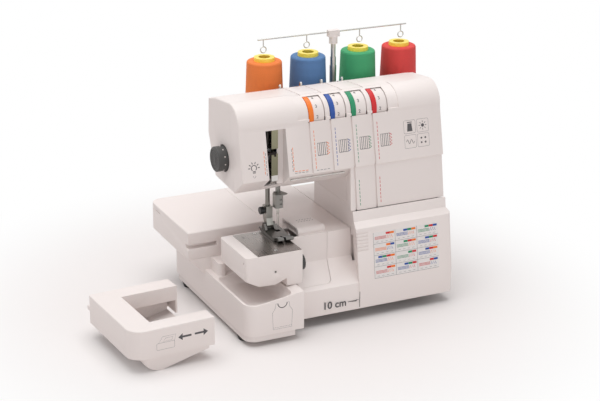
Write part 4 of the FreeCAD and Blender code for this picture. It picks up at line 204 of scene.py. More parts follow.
def moulded_plastic(name, colour, roughness):
    """Satin plastic with a fine moulded grain and a slight unevenness of tone."""
    finish = Finish(name)
    finish.set(Base_Color=finish.blend(finish.noise(9.0), darker(colour, 0.975), colour))
    finish.set(Roughness=finish.between(finish.noise(60.0), roughness - 0.05, roughness + 0.05))
    finish.bump(finish.noise(2600.0, 1.0), 0.00003)
    return finish.material


def ringed_grip(name, colour, roughness, node):
    """Dark moulded knob with turned rings on its face, round its own axis along X."""
    low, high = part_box(node)
    middle = (low + high) / 2
    finish = Finish(name)
    across, back, up = finish.parts(finish.here(shift=(0, -middle.y, -middle.z)))
    ring = (finish.reach(back, up) * 3900.0).sine() * 0.5 + 0.5
    finish.set(Base_Color=finish.blend(ring * 0.6 + finish.noise(30.0) * 0.4, darker(colour, 0.8), colour))
    finish.set(Roughness=finish.between(finish.noise(60.0), roughness - 0.05, roughness + 0.05))
    finish.bump(ring, 0.0002)
    return finish.material


def brushed_metal(name, colour, roughness, lines):
    """Ground steel: long fine lines across it."""
    finish = Finish(name, Metallic=1.0)
    line = finish.noise(1500.0, 2.0, lines)
    cloud = finish.noise(24.0, 1.0)
    finish.set(Base_Color=finish.blend(line * 0.3 + cloud * 0.7, darker(colour, 0.82), colour))
    finish.set(Roughness=finish.between(line * 0.4 + cloud * 0.6, roughness - 0.06, roughness + 0.06))
    finish.bump(line, 0.000003)
    return finish.material


def plain_metal(name, colour, roughness):
    """Polished or plated metal with faint smears."""
    finish = Finish(name, Metallic=1.0)
    smear = finish.noise(45.0, 3.0)
    finish.set(Base_Color=finish.blend(smear, darker(colour, 0.88), colour))
    finish.set(Roughness=finish.between(smear, roughness - 0.03, roughness + 0.06))
    return finish.material


def holder_metal(name, colour, knob_edge):
    """Plated holder whose thumb screw, left of an edge, is black plastic."""
    finish = Finish(name)
    across = finish.parts(finish.here())[0]
    steel = across > knob_edge
    smear = finish.noise(45.0, 3.0)
    plated = finish.blend(smear, darker(colour, 0.85), colour)
    finish.set(Base_Color=finish.blend(steel, (0.012, 0.012, 0.012), plated))
    finish.set(Metallic=steel, Roughness=finish.between(smear, 0.24, 0.36))
    return finish.material


def guide_metal(name, colour, strip_colour, strip_corner):
    """Bright wire guides; the strips in the slot, left of, in front of and above a corner, are bronzed and
    darker towards their foot.
    """
    finish = Finish(name, Metallic=1.0)
    across, back, up = finish.parts(finish.here())
    strip = (across < strip_corner.x) * (back < strip_corner.y) * (up > strip_corner.z)
    # The strips' colour darkens towards their foot, over about 70 mm up from the corner.
    fade = (up - strip_corner.z) * 14.0
    bronze = finish.blend(fade, darker(strip_colour, 0.62), strip_colour)
    finish.set(Base_Color=finish.blend(strip, colour, bronze))
    finish.set(Roughness=finish.between(strip, 0.16, 0.34) + finish.noise(45.0) * 0.06)
    return finish.material


def soft_rubber(name, colour):
    """Matte rubber with a coarse grain."""
    finish = Finish(name, Roughness=0.75)
    grain = finish.noise(1200.0)
    finish.set(Base_Color=finish.blend(grain, darker(colour, 0.8), colour))
    finish.bump(grain, 0.00004)
    return finish.material


def wound_cone(name, colour, core, node, bare):
    """Thread laid crosswise on a cone; the ends that the thread leaves bare are smooth plastic."""
    low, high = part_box(node)
    middle = (low + high) / 2
    finish = Finish(name)
    east, north, up = finish.parts(finish.here(shift=(-middle.x, -middle.y, 0)))
    turn = finish.node("ShaderNodeMath", {"operation": "ARCTAN2"}, {0: north, 1: east})
    first = (up * 5200.0 + turn * 9.0).sine()
    second = (up * 5200.0 - turn * 9.0).sine()
    fuzz = finish.noise(700.0, 3.0)
    shade = (first + second) * 0.15 + fuzz * 0.4 + 0.3
    layer = finish.noise(60.0, 2.0, (0.2, 0.2, 3.0))
    yarn = finish.blend(shade * 0.7 + layer * 0.3, darker(colour, 0.66), colour)
    plastic = (up > high.z - bare).larger(up < low.z + bare)
    finish.set(Base_Color=finish.blend(plastic, yarn, core))
    finish.set(Roughness=finish.between(plastic, 0.68, 0.34))
    finish.bump(shade * (1 - plastic), 0.0003)
    return finish.material


def flat_ink(name, colour):
    """Printing ink with a faint unevenness."""
    finish = Finish(name, Roughness=0.5)
    finish.set(Base_Color=finish.blend(finish.noise(400.0), darker(colour, 0.9), colour))
    return finish.material


def colour_property(name, description, default):
    return bpy.props.FloatVectorProperty(name=name, description=description, subtype="COLOR",
                                         default=default)


def length_property(name, description, millimetres):
    return bpy.props.FloatProperty(name=name, description=description, unit="LENGTH",
                                   default=millimetres * MM)


class OverlockColours(bpy.types.PropertyGroup):
    """Colours of the machine's finishes, as light."""

    shell: colour_property("Shell", "White plastic of the covers", (0.85, 0.775, 0.75))
    steel: colour_property("Steel", "Ground steel of the tools", (0.47, 0.46, 0.44))
    plate: colour_property("Plate", "Needle plate", (0.36, 0.325, 0.305))
    strip: colour_property("Strips", "Bronzed strips in the take-up slot", (0.33, 0.32, 0.22))
    grip: colour_property("Grips", "Dark grip knobs", (0.07, 0.07, 0.068))
    # This dark grey also paints the shade in the small hole openings of the needle plate and the free arm,
    # and round the plate's screws.
    ink: colour_property("Ink", "Grey marks on the covers", (0.085, 0.08, 0.085))
    pale_ink: colour_property("Pale ink", "Fine grey lines on the covers", (0.30, 0.285, 0.29))
    paper: colour_property("Chart", "White ground of the stitch chart", (0.84, 0.80, 0.785))
    core: colour_property("Cone cores", "Bare plastic cone under the thread", (0.98, 0.76, 0.09))
    orange: colour_property("Left needle", "First dial", (0.91, 0.20, 0.012))
    blue: colour_property("Right needle", "Second dial", (0.014, 0.077, 0.36))
    green: colour_property("Upper looper", "Third dial", (0.014, 0.275, 0.125))
    red: colour_property("Lower looper", "Fourth dial", (0.64, 0.016, 0.02))
    orange_yarn: colour_property("Orange thread", "First cone", (1.0, 0.25, 0.05))
    blue_yarn: colour_property("Blue thread", "Second cone", (0.105, 0.24, 0.50))
    green_yarn: colour_property("Green thread", "Third cone", (0.06, 0.44, 0.185))
    red_yarn: colour_property("Red thread", "Fourth cone", (0.86, 0.065, 0.06))


class OverlockSizes(bpy.types.PropertyGroup):
    """Sizes of what is added to the frame."""

    edge: length_property("Edge", "Rounding of the covers' edges", 0.8)
    ink: length_property("Ink", "Thickness of printed marks", 0.12)
    dash: length_property("Dash", "Length of a dash of the threading lines", 3.6)
    gap: length_property("Gap", "Gap between two dashes", 1.5)
    line: length_property("Line", "Width of the threading lines", 0.75)
    fine: length_property("Fine line", "Width of the fine grey lines", 0.45)
    numeral: length_property("Numeral", "Size of the numerals on the tension drums", 6.0)
    screw: length_property("Screw", "Radius of the needle plate's screws", 2.4)
    bare: length_property("Bare core", "Length of cone that the thread leaves bare", 5.0)
    dot: length_property("Dot", "Radius of the dots round the pressure dial", 0.9)


def colours():
    return bpy.context.scene.overlock_colours


def sizes():
    return bpy.context.scene.overlock_sizes


def colour(name):
    return tuple(getattr(colours(), name))


def size_mm(name):
    return getattr(sizes(), name) / MM


def deselect():
    if bpy.context.object and bpy.context.object.mode != "OBJECT":
        bpy.ops.object.mode_set(mode="OBJECT")
    bpy.ops.object.select_all(action="DESELECT")


def dress(piece, *materials):
    piece.data.materials.clear()
    for material in materials:
        piece.data.materials.append(material)


def paint(material, *nodes):
    """Finish CAD nodes as they are."""
    for node in nodes:
        dress(frame["nodes"][node], material)


def body_of_node(node):
    return body_of(frame["nodes"][node])[0]


def settle(piece, place):
    """Put a new piece in its place, with the place in its mesh."""
    deselect()
    piece.select_set(True)
    bpy.context.view_layer.objects.active = piece
    piece.matrix_world = place
    bpy.ops.object.transform_apply(location=True, rotation=True, scale=True)


def round_rims(offset, segments):
    """Round the sharp edges of the active mesh."""
    bpy.ops.object.mode_set(mode="EDIT")
    bpy.ops.mesh.select_mode(type="EDGE")
    bpy.ops.mesh.select_all(action="DESELECT")
    bpy.ops.mesh.edges_select_sharp(sharpness=math.radians(60))
    bpy.ops.mesh.bevel(offset=offset, segments=segments, affect="EDGES")
    bpy.ops.object.mode_set(mode="OBJECT")


def joined(pieces, name):
    deselect()
    for piece in pieces:
        piece.select_set(True)
    bpy.context.view_layer.objects.active = pieces[0]
    bpy.ops.object.join()
    pieces[0].name = name
    return pieces[0]


def fresh_copy(piece):
    """Copy of a piece with its own mesh."""
    deselect()
    piece.select_set(True)
    bpy.context.view_layer.objects.active = piece
    bpy.ops.object.duplicate(linked=False)
    return bpy.context.active_object


def softened(node, width, material, steps=3):
    """Copy of a CAD node with its edges rounded, which then stands for the node."""
    piece = fresh_copy(frame["nodes"][node])
    piece.name = node + "_soft"
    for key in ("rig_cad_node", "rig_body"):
        del piece[key]
    bpy.ops.object.mode_set(mode="EDIT")
    bpy.ops.mesh.select_all(action="SELECT")
    bpy.ops.mesh.remove_doubles(threshold=0.002 * MM)
    bpy.ops.mesh.dissolve_limited(angle_limit=math.radians(0.4))
    bpy.ops.object.mode_set(mode="OBJECT")
    bevel = piece.modifiers.new("edge", "BEVEL")
    bevel.width = width
    bevel.segments = steps
    bevel.limit_method = "ANGLE"
    bevel.angle_limit = math.radians(28)
    bevel.use_clamp_overlap = True
    bevel.miter_outer = "MITER_ARC"
    bpy.ops.object.modifier_apply(modifier="edge")
    bpy.ops.object.shade_smooth_by_angle(angle=math.radians(32))
    dress(piece, material)
    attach(piece, body_of_node(node))
    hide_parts(node)
    return piece


class Face:
    """A flat face of a node that takes marks: a corner, and its directions to the right and upward."""

    def __init__(self, node, corner, right, upward):
        self.node = node
        self.corner = corner
        self.right = Vector(right).normalized()
        self.upward = Vector(upward).normalized()

    def place(self, across=0.0, up=0.0, lift=0.0):
        """Matrix from millimetres on the face, from a point on it, to the frame."""
        outward = self.right.cross(self.upward)
        turn = Matrix((self.right, self.upward, outward)).transposed().to_4x4()
        point = self.right * across + self.upward * up + outward * lift
        return Matrix.Translation(spot(*(Vector(self.corner) + point))) @ turn @ Matrix.Scale(MM, 4)


RIGHT = (1, 0, 0)
UPRIGHT = (0, 0, 1)
TABLE_TURN = math.radians(3.6)
HEAD_FRONT = Face("head_front_cover", (0, -31, 201), RIGHT, (0, 13, 63))
COLUMN_FRONT = Face("head_front_cover", (0, -38, 143.3), RIGHT, (0, 9, 56.7))
COVER_FRONT = Face("front_cover", (0, -64, 50), RIGHT, (0, 10, 73.5))
SKIRT_FRONT = Face("front_cover", (0, -64, 15), RIGHT, UPRIGHT)
BASE_FRONT = Face("base_shell", (0, -89, 0), RIGHT, UPRIGHT)
ARM_FRONT = Face("free_arm", (0, -65, 0), RIGHT, UPRIGHT)
TABLE_ALONG = (math.cos(TABLE_TURN), math.sin(TABLE_TURN), 0)
TABLE_FRONT = Face("extension_table", (-242.2, -102.5, 0), TABLE_ALONG, UPRIGHT)
GUARD_TOP = Face("looper_guard", (0, 0, 121), RIGHT, (0, 1, 0))
PLATE_TOP = Face("needle_plate", (0, 0, 113), RIGHT, (0, 1, 0))


def finish_mark(mark, face, material, place):
    settle(mark, place)
    dress(mark, material)
    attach(mark, body_of_node(face.node))
    return mark


def curve_piece(name, lines, closed):
    deselect()
    bpy.ops.object.add(type="CURVE")
    piece = bpy.context.active_object
    piece.name = name
    for line in lines:
        spline = piece.data.splines.new("POLY")
        spline.points.add(len(line) - 1)
        for point, (x, y) in zip(spline.points, line):
            point.co = (x, y, 0, 1)
        spline.use_cyclic_u = closed
    return piece


def filled(name, face, material, outlines):
    """Mark printed inside closed outlines; one outline inside another is a hole in it."""
    mark = curve_piece(name, outlines, True)
    mark.data.dimensions = "2D"
    mark.data.fill_mode = "BOTH"
    mark.data.extrude = size_mm("ink") / 2
    bpy.ops.object.convert(target="MESH")
    return finish_mark(mark, face, material, face.place())


def drawn(name, face, material, lines, width, closed=False):
    """Mark drawn as lines of one width, flat on a face."""
    mark = curve_piece(name, lines, closed)
    mark.data.dimensions = "3D"
    mark.data.bevel_depth = width / 2
    mark.data.bevel_resolution = 1
    mark.data.use_fill_caps = True
    bpy.ops.object.convert(target="MESH")
    flat = Matrix.Diagonal((1, 1, size_mm("ink") / width, 1))
    return finish_mark(mark, face, material, face.place() @ flat)


def lettered(text, height, name):
    """Flat numerals in millimetres, centred on the origin."""
    deselect()
    bpy.ops.object.text_add()
    piece = bpy.context.active_object
    piece.name = name
    piece.data.body = text
    piece.data.size = height
    piece.data.align_x = "CENTER"
    piece.data.align_y = "CENTER"
    piece.data.extrude = size_mm("ink") / 2
    piece.data.offset = 0.015 * height
    bpy.ops.object.convert(target="MESH")
    return piece


def bar(start, end, width):
    """Outline of a straight bar from one point to another."""
    start, end = Vector(start), Vector(end)
    ahead = (end - start).normalized()
    side = Vector((-ahead.y, ahead.x)) * width / 2
    return [start - side, end - side, end + side, start + side]


def dashes(start, end):
    """Outlines of a dashed threading line."""
    start, end = Vector(start), Vector(end)
    step = size_mm("dash") + size_mm("gap")
    ahead = (end - start).normalized()
    count = round((end - start).length / step)
    starts = [start + ahead * step * place for place in range(count)]
    return [bar(point, point + ahead * size_mm("dash"), size_mm("line")) for point in starts]


def arc(x, y, radius, first, last, steps=10):
    """Points on an arc, from one angle to another in degrees."""
    angles = [math.radians(first + (last - first) * step / steps) for step in range(steps + 1)]
    return [(x + radius * math.cos(angle), y + radius * math.sin(angle)) for angle in angles]


def circle(x, y, radius, steps=20):
    return arc(x, y, radius, 0, 360, steps)[:-1]


def rounded(x, y, wide, high, radius):
    """Outline of a rectangle with round corners, from its lower left corner."""
    right, top = x + wide - radius, y + high - radius
    return (arc(right, top, radius, 0, 90, 5) + arc(x + radius, top, radius, 90, 180, 5)
            + arc(x + radius, y + radius, radius, 180, 270, 5)
            + arc(right, y + radius, radius, 270, 360, 5))


# Length of an arrow's head and half width of its shaft, as shares of the head's half width
ARROW_HEAD = 1.3
ARROW_SHAFT = 0.28


def arrow(x, y, length, wide):
    """Outline of an arrow from its tail; a negative length points left."""
    neck = x + length - math.copysign(ARROW_HEAD * wide, length)
    shaft = ARROW_SHAFT * wide
    return [(x, y - shaft), (neck, y - shaft), (neck, y - wide), (x + length, y), (neck, y + wide),
            (neck, y + shaft), (x, y + shaft)]


def inks():
    """Printing inks by name, made once."""
    made = bpy.data.materials
    names = THREADS + ("ink", "pale_ink", "paper")
    return {name: made.get(f"{name} print") or flat_ink(f"{name} print", colour(name)) for name in names}


SHELLS = ("base_shell", "rear_table", "bed_cover", "looper_guard", "free_arm", "looper_side_panel",
          "front_cover", "lower_rear_housing", "head_front_cover", "head_rear_cover", "extension_table")
# Opposite corners of the strip behind the front cover's seam, in millimetres
LINING_LOW = (96.2, -18.6, 61.0)
LINING_HIGH = (101.4, -16.6, 112.8)


class OVERLOCK_OT_covers(bpy.types.Operator):
    """White moulded covers with rounded edges"""

    bl_idname = "overlock.covers"
    bl_label = "Covers"

    def execute(self, context):
        white = moulded_plastic("shell white", colour("shell"), 0.42)
        for node in SHELLS:
            softened(node, sizes().edge, white)
        paint(moulded_plastic("base white", darker(colour("shell"), 0.93), 0.5), "base_plate")
        paint(moulded_plastic("stand white", colour("shell"), 0.45), "spool_stand", "spool_pins",
              "guide_cap", "presser_lifter", "handwheel")
        self.lining(white)
        return {"FINISHED"}

    def lining(self, white):
        """Strip behind the seam between the front cover and the column's flare."""
        low, high = spot(*LINING_LOW), spot(*LINING_HIGH)
        deselect()
        bpy.ops.mesh.primitive_cube_add(size=1)
        strip = bpy.context.active_object
        strip.name = "column_seam_lining"
        settle(strip, Matrix.Translation((low + high) / 2) @ Matrix.Diagonal((high - low).to_4d()))
        dress(strip, white)
        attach(strip, body_of_node("bed_cover"))


class OVERLOCK_OT_metalwork(bpy.types.Operator):
    """Steel, brass and cast pieces of the mechanism"""

    bl_idname = "overlock.metalwork"
    bl_label = "Metalwork"

    def execute(self, context):
        steel = colour("steel")
        paint(brushed_metal("plate steel", colour("plate"), 0.27, (1, 0.05, 1)), "needle_plate")
        paint(brushed_metal("ground steel", darker(steel, 0.9), 0.35, (0.1, 1, 1)), "feed_dogs",
              "tension_spindle", "main_shaft", "motor_pulley", "upper_looper", "lower_looper",
              "upper_knife", "lower_knife")
        paint(plain_metal("polished steel", (0.60, 0.59, 0.56), 0.2), "needles", "guide_bar")
        paint(plain_metal("clamp steel", (0.27, 0.265, 0.25), 0.3), "needle_clamp", "needle_bar")
        paint(plain_metal("foot steel", (0.20, 0.19, 0.18), 0.28), "presser_foot")
        paint(plain_metal("bar steel", (0.25, 0.24, 0.22), 0.3), "presser_bar")
        knob_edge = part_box("foot_holder")[0].x + 6.2 * MM
        paint(holder_metal("holder steel", (0.34, 0.335, 0.31), knob_edge), "foot_holder")
        paint(guide_metal("guide steel", (0.66, 0.65, 0.63), colour("strip"), spot(-3, -10, 200)),
              "thread_guides")
        paint(plain_metal("satin nickel", (0.60, 0.58, 0.55), 0.28), "guide_pole_lower",
              "guide_pole_middle", "guide_pole_upper")
        paint(plain_metal("cast aluminium", (0.52, 0.53, 0.54), 0.5), "main_frame")
        paint(plain_metal("bush brass", (0.72, 0.52, 0.24), 0.3), "shaft_bushes")
        paint(plain_metal("dark lever", (0.035, 0.03, 0.03), 0.35), "take_up_lever")
        paint(moulded_plastic("motor grey", (0.18, 0.19, 0.20), 0.5), "motor")
        paint(soft_rubber("belt rubber", (0.03, 0.03, 0.03)), "drive_belt")
        paint(soft_rubber("foot rubber", (0.03, 0.03, 0.03)), "rubber_feet")
        return {"FINISHED"}


class OVERLOCK_OT_knobs(bpy.types.Operator):
    """Grip knobs with their dots, switch and inlet"""

    bl_idname = "overlock.knobs"
    bl_label = "Knobs"

    def execute(self, context):
        for node in ("pressure_dial", "cutting_width_dial", "stitch_length_dial"):
            paint(ringed_grip(node.replace("_", " "), colour("grip"), 0.45, node), node)
        paint(moulded_plastic("inlet black", (0.02, 0.02, 0.02), 0.4), "power_inlet", "power_switch")
        self.dots()
        return {"FINISHED"}

    def dots(self):
        """Raised pale dots round the rim of the pressure dial."""
        low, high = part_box("pressure_dial")
        middle = (low + high) / 2
        rim = (high.z - low.z) / 2
        radius = sizes().dot
        deselect()
        bpy.ops.mesh.primitive_cylinder_add(vertices=16, radius=radius, depth=2 * radius)
        first = bpy.context.active_object
        round_rims(0.3 * radius, 2)
        pieces = []
        for step in range(10):
            angle = math.radians(36 * step + 12)
            dot = fresh_copy(first)
            place = Vector((low.x + 8.5 * MM, middle.y + (rim - 0.7 * radius) * math.cos(angle),
                            middle.z + (rim - 0.7 * radius) * math.sin(angle)))
            settle(dot, Matrix.Translation(place) @ Matrix.Rotation(angle - math.pi / 2, 4, "X"))
            pieces.append(dot)
        bpy.data.objects.remove(first)
        dots = joined(pieces, "pressure_dial_dots")
        dress(dots, moulded_plastic("dot white", darker(colour("shell"), 0.9), 0.4))
        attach(dots, body_of_node("pressure_dial"))


class OVERLOCK_OT_dials(bpy.types.Operator):
    """Tension dials: coloured rings and white drums with numerals"""

    bl_idname = "overlock.dials"
    bl_label = "Tension dials"

    def execute(self, context):
        drum = moulded_plastic("drum white", colour("shell"), 0.32)
        first = self.numerals()
        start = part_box("tension_drum_1")[0].x
        for place, thread in enumerate(THREADS, 1):
            node = f"tension_drum_{place}"
            paint(drum, node)
            paint(moulded_plastic(f"ring {thread}", colour(thread), 0.25), f"tension_ring_{place}")
            numerals = fresh_copy(first)
            numerals.name = f"numerals_{place}"
            settle(numerals, Matrix.Translation((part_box(node)[0].x - start, 0, 0)))
            dress(numerals, inks()["ink"])
            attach(numerals, body_of_node(node))
        bpy.data.objects.remove(first)
        return {"FINISHED"}

    def numerals(self):
        """Ring of numerals on the first drum, read from the front."""
        low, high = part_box("tension_drum_1")
        middle = (low + high) / 2
        radius = (high.z - low.z) / 2
        pieces = []
        for number in range(10):
            angle = math.radians(36 * number - 70)
            outward = Vector((0, -math.cos(angle), math.sin(angle)))
            upward = Vector((0, math.sin(angle), math.cos(angle)))
            turn = Matrix((Vector(RIGHT), upward, outward)).transposed().to_4x4()
            point = Vector((low.x + 0.34 * (high.x - low.x), middle.y, middle.z)) + outward * radius
            piece = lettered(str(number), size_mm("numeral"), f"numeral_{number}")
            settle(piece, Matrix.Translation(point) @ turn @ Matrix.Scale(MM, 4))
            pieces.append(piece)
        return joined(pieces, "numerals")


class OVERLOCK_OT_cones(bpy.types.Operator):
    """Four cones of thread"""

    bl_idname = "overlock.cones"
    bl_label = "Thread cones"

    def execute(self, context):
        for place, thread in enumerate(THREADS, 1):
            node = f"thread_cone_{place}"
            yarn = colour(f"{thread}_yarn")
            paint(wound_cone(f"thread {thread}", yarn, colour("core"), node, sizes().bare), node)
        return {"FINISHED"}


# Threading lines, as distance right of the needles and height on the face
PANEL_LINES = {"orange": 41.0, "blue": 71.7, "green": 102.3, "red": 132.8}
LINE_TOP = 55.0
LINE_FOOT = 5.0
COLUMN_LINE_TOP = 40.0
COLUMN_LINE_FOOT = 2.5


# Ends of the lines beside the take-up slot and under the first panels, on the head's front
SLOT_LINES_ORANGE = (((-30.7, 37), (-30.7, 4)), ((9.4, 37), (9.4, 6)), ((10.5, 5.8), (32.5, 5.3)))
SLOT_LINES_GREY = (((-28.4, 35), (-28.4, 4.5)), ((7.9, 35.2), (7.9, 5)), ((10.1, 3.6), (32.3, 3.1)),
                   ((41.2, 3.2), (63.2, 3.2)))
SWATCH_GAP = 4
SWATCH_WIDE = 13
SWATCH_FOOT, SWATCH_TOP = 22, 38
HATCH_STEP = 2.6


class OVERLOCK_OT_threading_lines(bpy.types.Operator):
    """Dashed coloured lines that show each thread's way"""

    bl_idname = "overlock.threading_lines"
    bl_label = "Threading lines"

    def execute(self, context):
        for thread, x in PANEL_LINES.items():
            filled(f"line_{thread}", HEAD_FRONT, inks()[thread],
                   dashes((x, LINE_TOP), (x, LINE_FOOT)))
        for thread in ("green", "red"):
            x = PANEL_LINES[thread]
            filled(f"column_line_{thread}", COLUMN_FRONT, inks()[thread],
                   dashes((x, COLUMN_LINE_TOP), (x, COLUMN_LINE_FOOT)))
        orange = [dash for start, end in SLOT_LINES_ORANGE for dash in dashes(start, end)]
        filled("slot_lines_orange", HEAD_FRONT, inks()["orange"], orange)
        grey = [dash for start, end in SLOT_LINES_GREY for dash in dashes(start, end)]
        filled("slot_lines_grey", HEAD_FRONT, inks()["pale_ink"], grey)
        self.swatches()
        return {"FINISHED"}

    def swatches(self):
        """A little seam on each panel: cloth edge, hatching and one coloured zigzag."""
        cloth, zigzags = [], {}
        for thread, x in PANEL_LINES.items():
            left = x + SWATCH_GAP
            right = left + SWATCH_WIDE
            cloth.append([(left, SWATCH_FOOT), (right, SWATCH_FOOT), (right, SWATCH_TOP), (left, SWATCH_TOP),
                          (left, SWATCH_FOOT)])
            cloth += [[(left + HATCH_STEP * step, SWATCH_FOOT), (left + HATCH_STEP * step, SWATCH_TOP)]
                      for step in range(1, 5)]
            zigzags[thread] = [(right + 3.4 * (step % 2), SWATCH_FOOT + 2.0 * step) for step in range(9)]
        drawn("swatches", HEAD_FRONT, inks()["ink"], cloth, size_mm("line"))
        for thread, zigzag in zigzags.items():
            drawn(f"zigzag_{thread}", HEAD_FRONT, inks()[thread], [zigzag],
                  1.4 * size_mm("line"))


SIGN_LEFT = 172.0
SIGN_FOOT = 14.0
SIGN_SIZE = 17.3
SIGN_STEP = 19.6
LAMP_X = -46.0
LAMP_UP = 18.0


class OVERLOCK_OT_signs(bpy.types.Operator):
    """Plain signs on the covers: lamp, squares, arrows, a top and a measure"""

    bl_idname = "overlock.signs"
    bl_label = "Signs"

    def execute(self, context):
        self.head_signs()
        self.lamp_sign()
        self.table_sign()
        self.garment_sign()
        self.measure()
        self.guard_sign()
        return {"FINISHED"}

    def head_signs(self):
        """Four rounded squares with a spool, rays, a wave and four dots."""
        corners = [(SIGN_LEFT + SIGN_STEP * column, SIGN_FOOT + SIGN_STEP * row)
                   for row in (0, 1) for column in (0, 1)]
        squares = [rounded(x, y, SIGN_SIZE, SIGN_SIZE, 1.8) for x, y in corners]
        drawn("sign_squares", HEAD_FRONT, inks()["pale_ink"], squares, size_mm("fine"), True)
        middles = [(x + SIGN_SIZE / 2, y + SIGN_SIZE / 2) for x, y in corners]
        (wave_x, wave_y), (dots_x, dots_y), (spool_x, spool_y), (ray_x, ray_y) = middles
        wave = [(wave_x - 6 + step, wave_y + 3 * math.sin(step * math.pi / 3)) for step in range(13)]
        rays = [[(ray_x + 3.6 * math.cos(turn), ray_y + 3.6 * math.sin(turn)),
                 (ray_x + 6 * math.cos(turn), ray_y + 6 * math.sin(turn))]
                for turn in (math.radians(45 * step) for step in range(8))]
        drawn("sign_lines", HEAD_FRONT, inks()["ink"], [wave] + rays, size_mm("line"))
        dots = [circle(dots_x + side * 3, dots_y + row * 3, 1.3) for side in (-1, 1) for row in (-1, 1)]
        spool = [(spool_x - 4, spool_y - 6), (spool_x + 4, spool_y - 6), (spool_x + 3, spool_y + 4.5),
                 (spool_x - 3, spool_y + 4.5)]
        top = bar((spool_x - 3.6, spool_y + 6), (spool_x + 3.6, spool_y + 6), 1.2)
        filled("sign_fills", HEAD_FRONT, inks()["ink"],
               dots + [spool, top, circle(ray_x, ray_y, 2.3)])

    def lamp_sign(self):
        """Bulb with rays over a small arrow that points at the work."""
        bulb = arc(LAMP_X, LAMP_UP, 3.6, -50, 230, 16)
        rays = [[(LAMP_X + 5.2 * math.cos(turn), LAMP_UP + 5.2 * math.sin(turn)),
                 (LAMP_X + 8 * math.cos(turn), LAMP_UP + 8 * math.sin(turn))]
                for turn in (math.radians(36 * step) for step in range(6))]
        levels = [LAMP_UP - 4.4 - 1.7 * row for row in (0, 1)]
        foot = [[(LAMP_X - 2, level), (LAMP_X + 2, level)] for level in levels]
        drawn("lamp_sign", HEAD_FRONT, inks()["ink"], [bulb] + rays + foot, 1.1)
        tip = [(LAMP_X - 2, LAMP_UP - 10), (LAMP_X, LAMP_UP - 13), (LAMP_X + 2, LAMP_UP - 10)]
        drawn("lamp_arrow", HEAD_FRONT, inks()["ink"], [tip], size_mm("fine"))

    def table_sign(self):
        """Two arrows and an outline of the table, on its front."""
        arrows = [arrow(80.0, 40.3, -18.0, 4.6), arrow(84.5, 40.6, 18.0, 4.6)]
        filled("table_arrows", TABLE_FRONT, inks()["ink"], arrows)
        tray = rounded(33, 29, 24, 9, 1.5)
        deck = [(35, 38), (41, 46), (59, 46), (57, 38)]
        mouth = [(42, 39.5), (45, 43.5), (55, 43.5), (53.5, 39.5)]
        drawn("table_outline", TABLE_FRONT, inks()["pale_ink"], [tray, deck, mouth], 0.4,
              True)

    def garment_sign(self):
        """A sleeveless top on the front of the base."""
        half = [(6.5, 56), (9.5, 56), (10, 50), (14, 44), (13, 21)]
        middle = -34.5
        neck = arc(middle, 56, 6.5, 0, -180, 10)
        side = [(middle + x, y) for x, y in half]
        other = [(middle - x, y) for x, y in reversed(half)]
        drawn("garment", BASE_FRONT, inks()["pale_ink"], [side + other], size_mm("fine"))
        drawn("garment_neck", BASE_FRONT, inks()["ink"], [neck], 1.2)
        hem = [bar((middle - 12.5 + 2.2 * step, 23.2), (middle - 11.3 + 2.2 * step, 23.2), 0.5)
               for step in range(12)]
        filled("garment_hem", BASE_FRONT, inks()["pale_ink"], hem)

    def measure(self):
        """Length mark of the free space, on the skirt."""
        words = lettered("10 cm", 14.0, "measure_number")
        finish_mark(words, SKIRT_FRONT, inks()["ink"], SKIRT_FRONT.place(52.5, 12.0))
        lines = [bar((89.6, 2), (89.6, 24), 0.7), bar((72, 12.6), (85, 12.6), 0.5)]
        head = [(84.5, 11.3), (88.8, 12.6), (84.5, 13.9)]
        filled("measure_line", SKIRT_FRONT, inks()["ink"], lines + [head])

    def guard_sign(self):
        """Two rows of short strokes on the looper guard."""
        rows = [[(33 + 4 * step, 8 + 6 * row), (35.4 + 4 * step, 8.6 + 6 * row)]
                for row in (0, 1) for step in range(6)]
        drawn("guard_strokes", GUARD_TOP, inks()["ink"], rows, size_mm("line"))


# The stitch chart: three columns of four cells, with the threads of each cell
CHART_LEFT, CHART_FOOT = 112.0, 3.6
CELL_WIDE, CELL_HIGH = 32.5, 15.5
BAR_STEP, BAR_LONG, BAR_WIDE, BAR_UP = 6.2, 6.0, 2.8, 12.6
CHART_CELLS = (("red", "orange"), ("blue", "green", "red"), ("red", "blue"),
               ("blue", "green", "red", "orange"), ("green", "red"), ("blue", "red", "orange"),
               ("orange", "blue"), ("green", "red", "orange"), ("blue", "green", "red"),
               ("red", "orange"), ("blue", "green", "orange"), ("green", "red", "blue"))


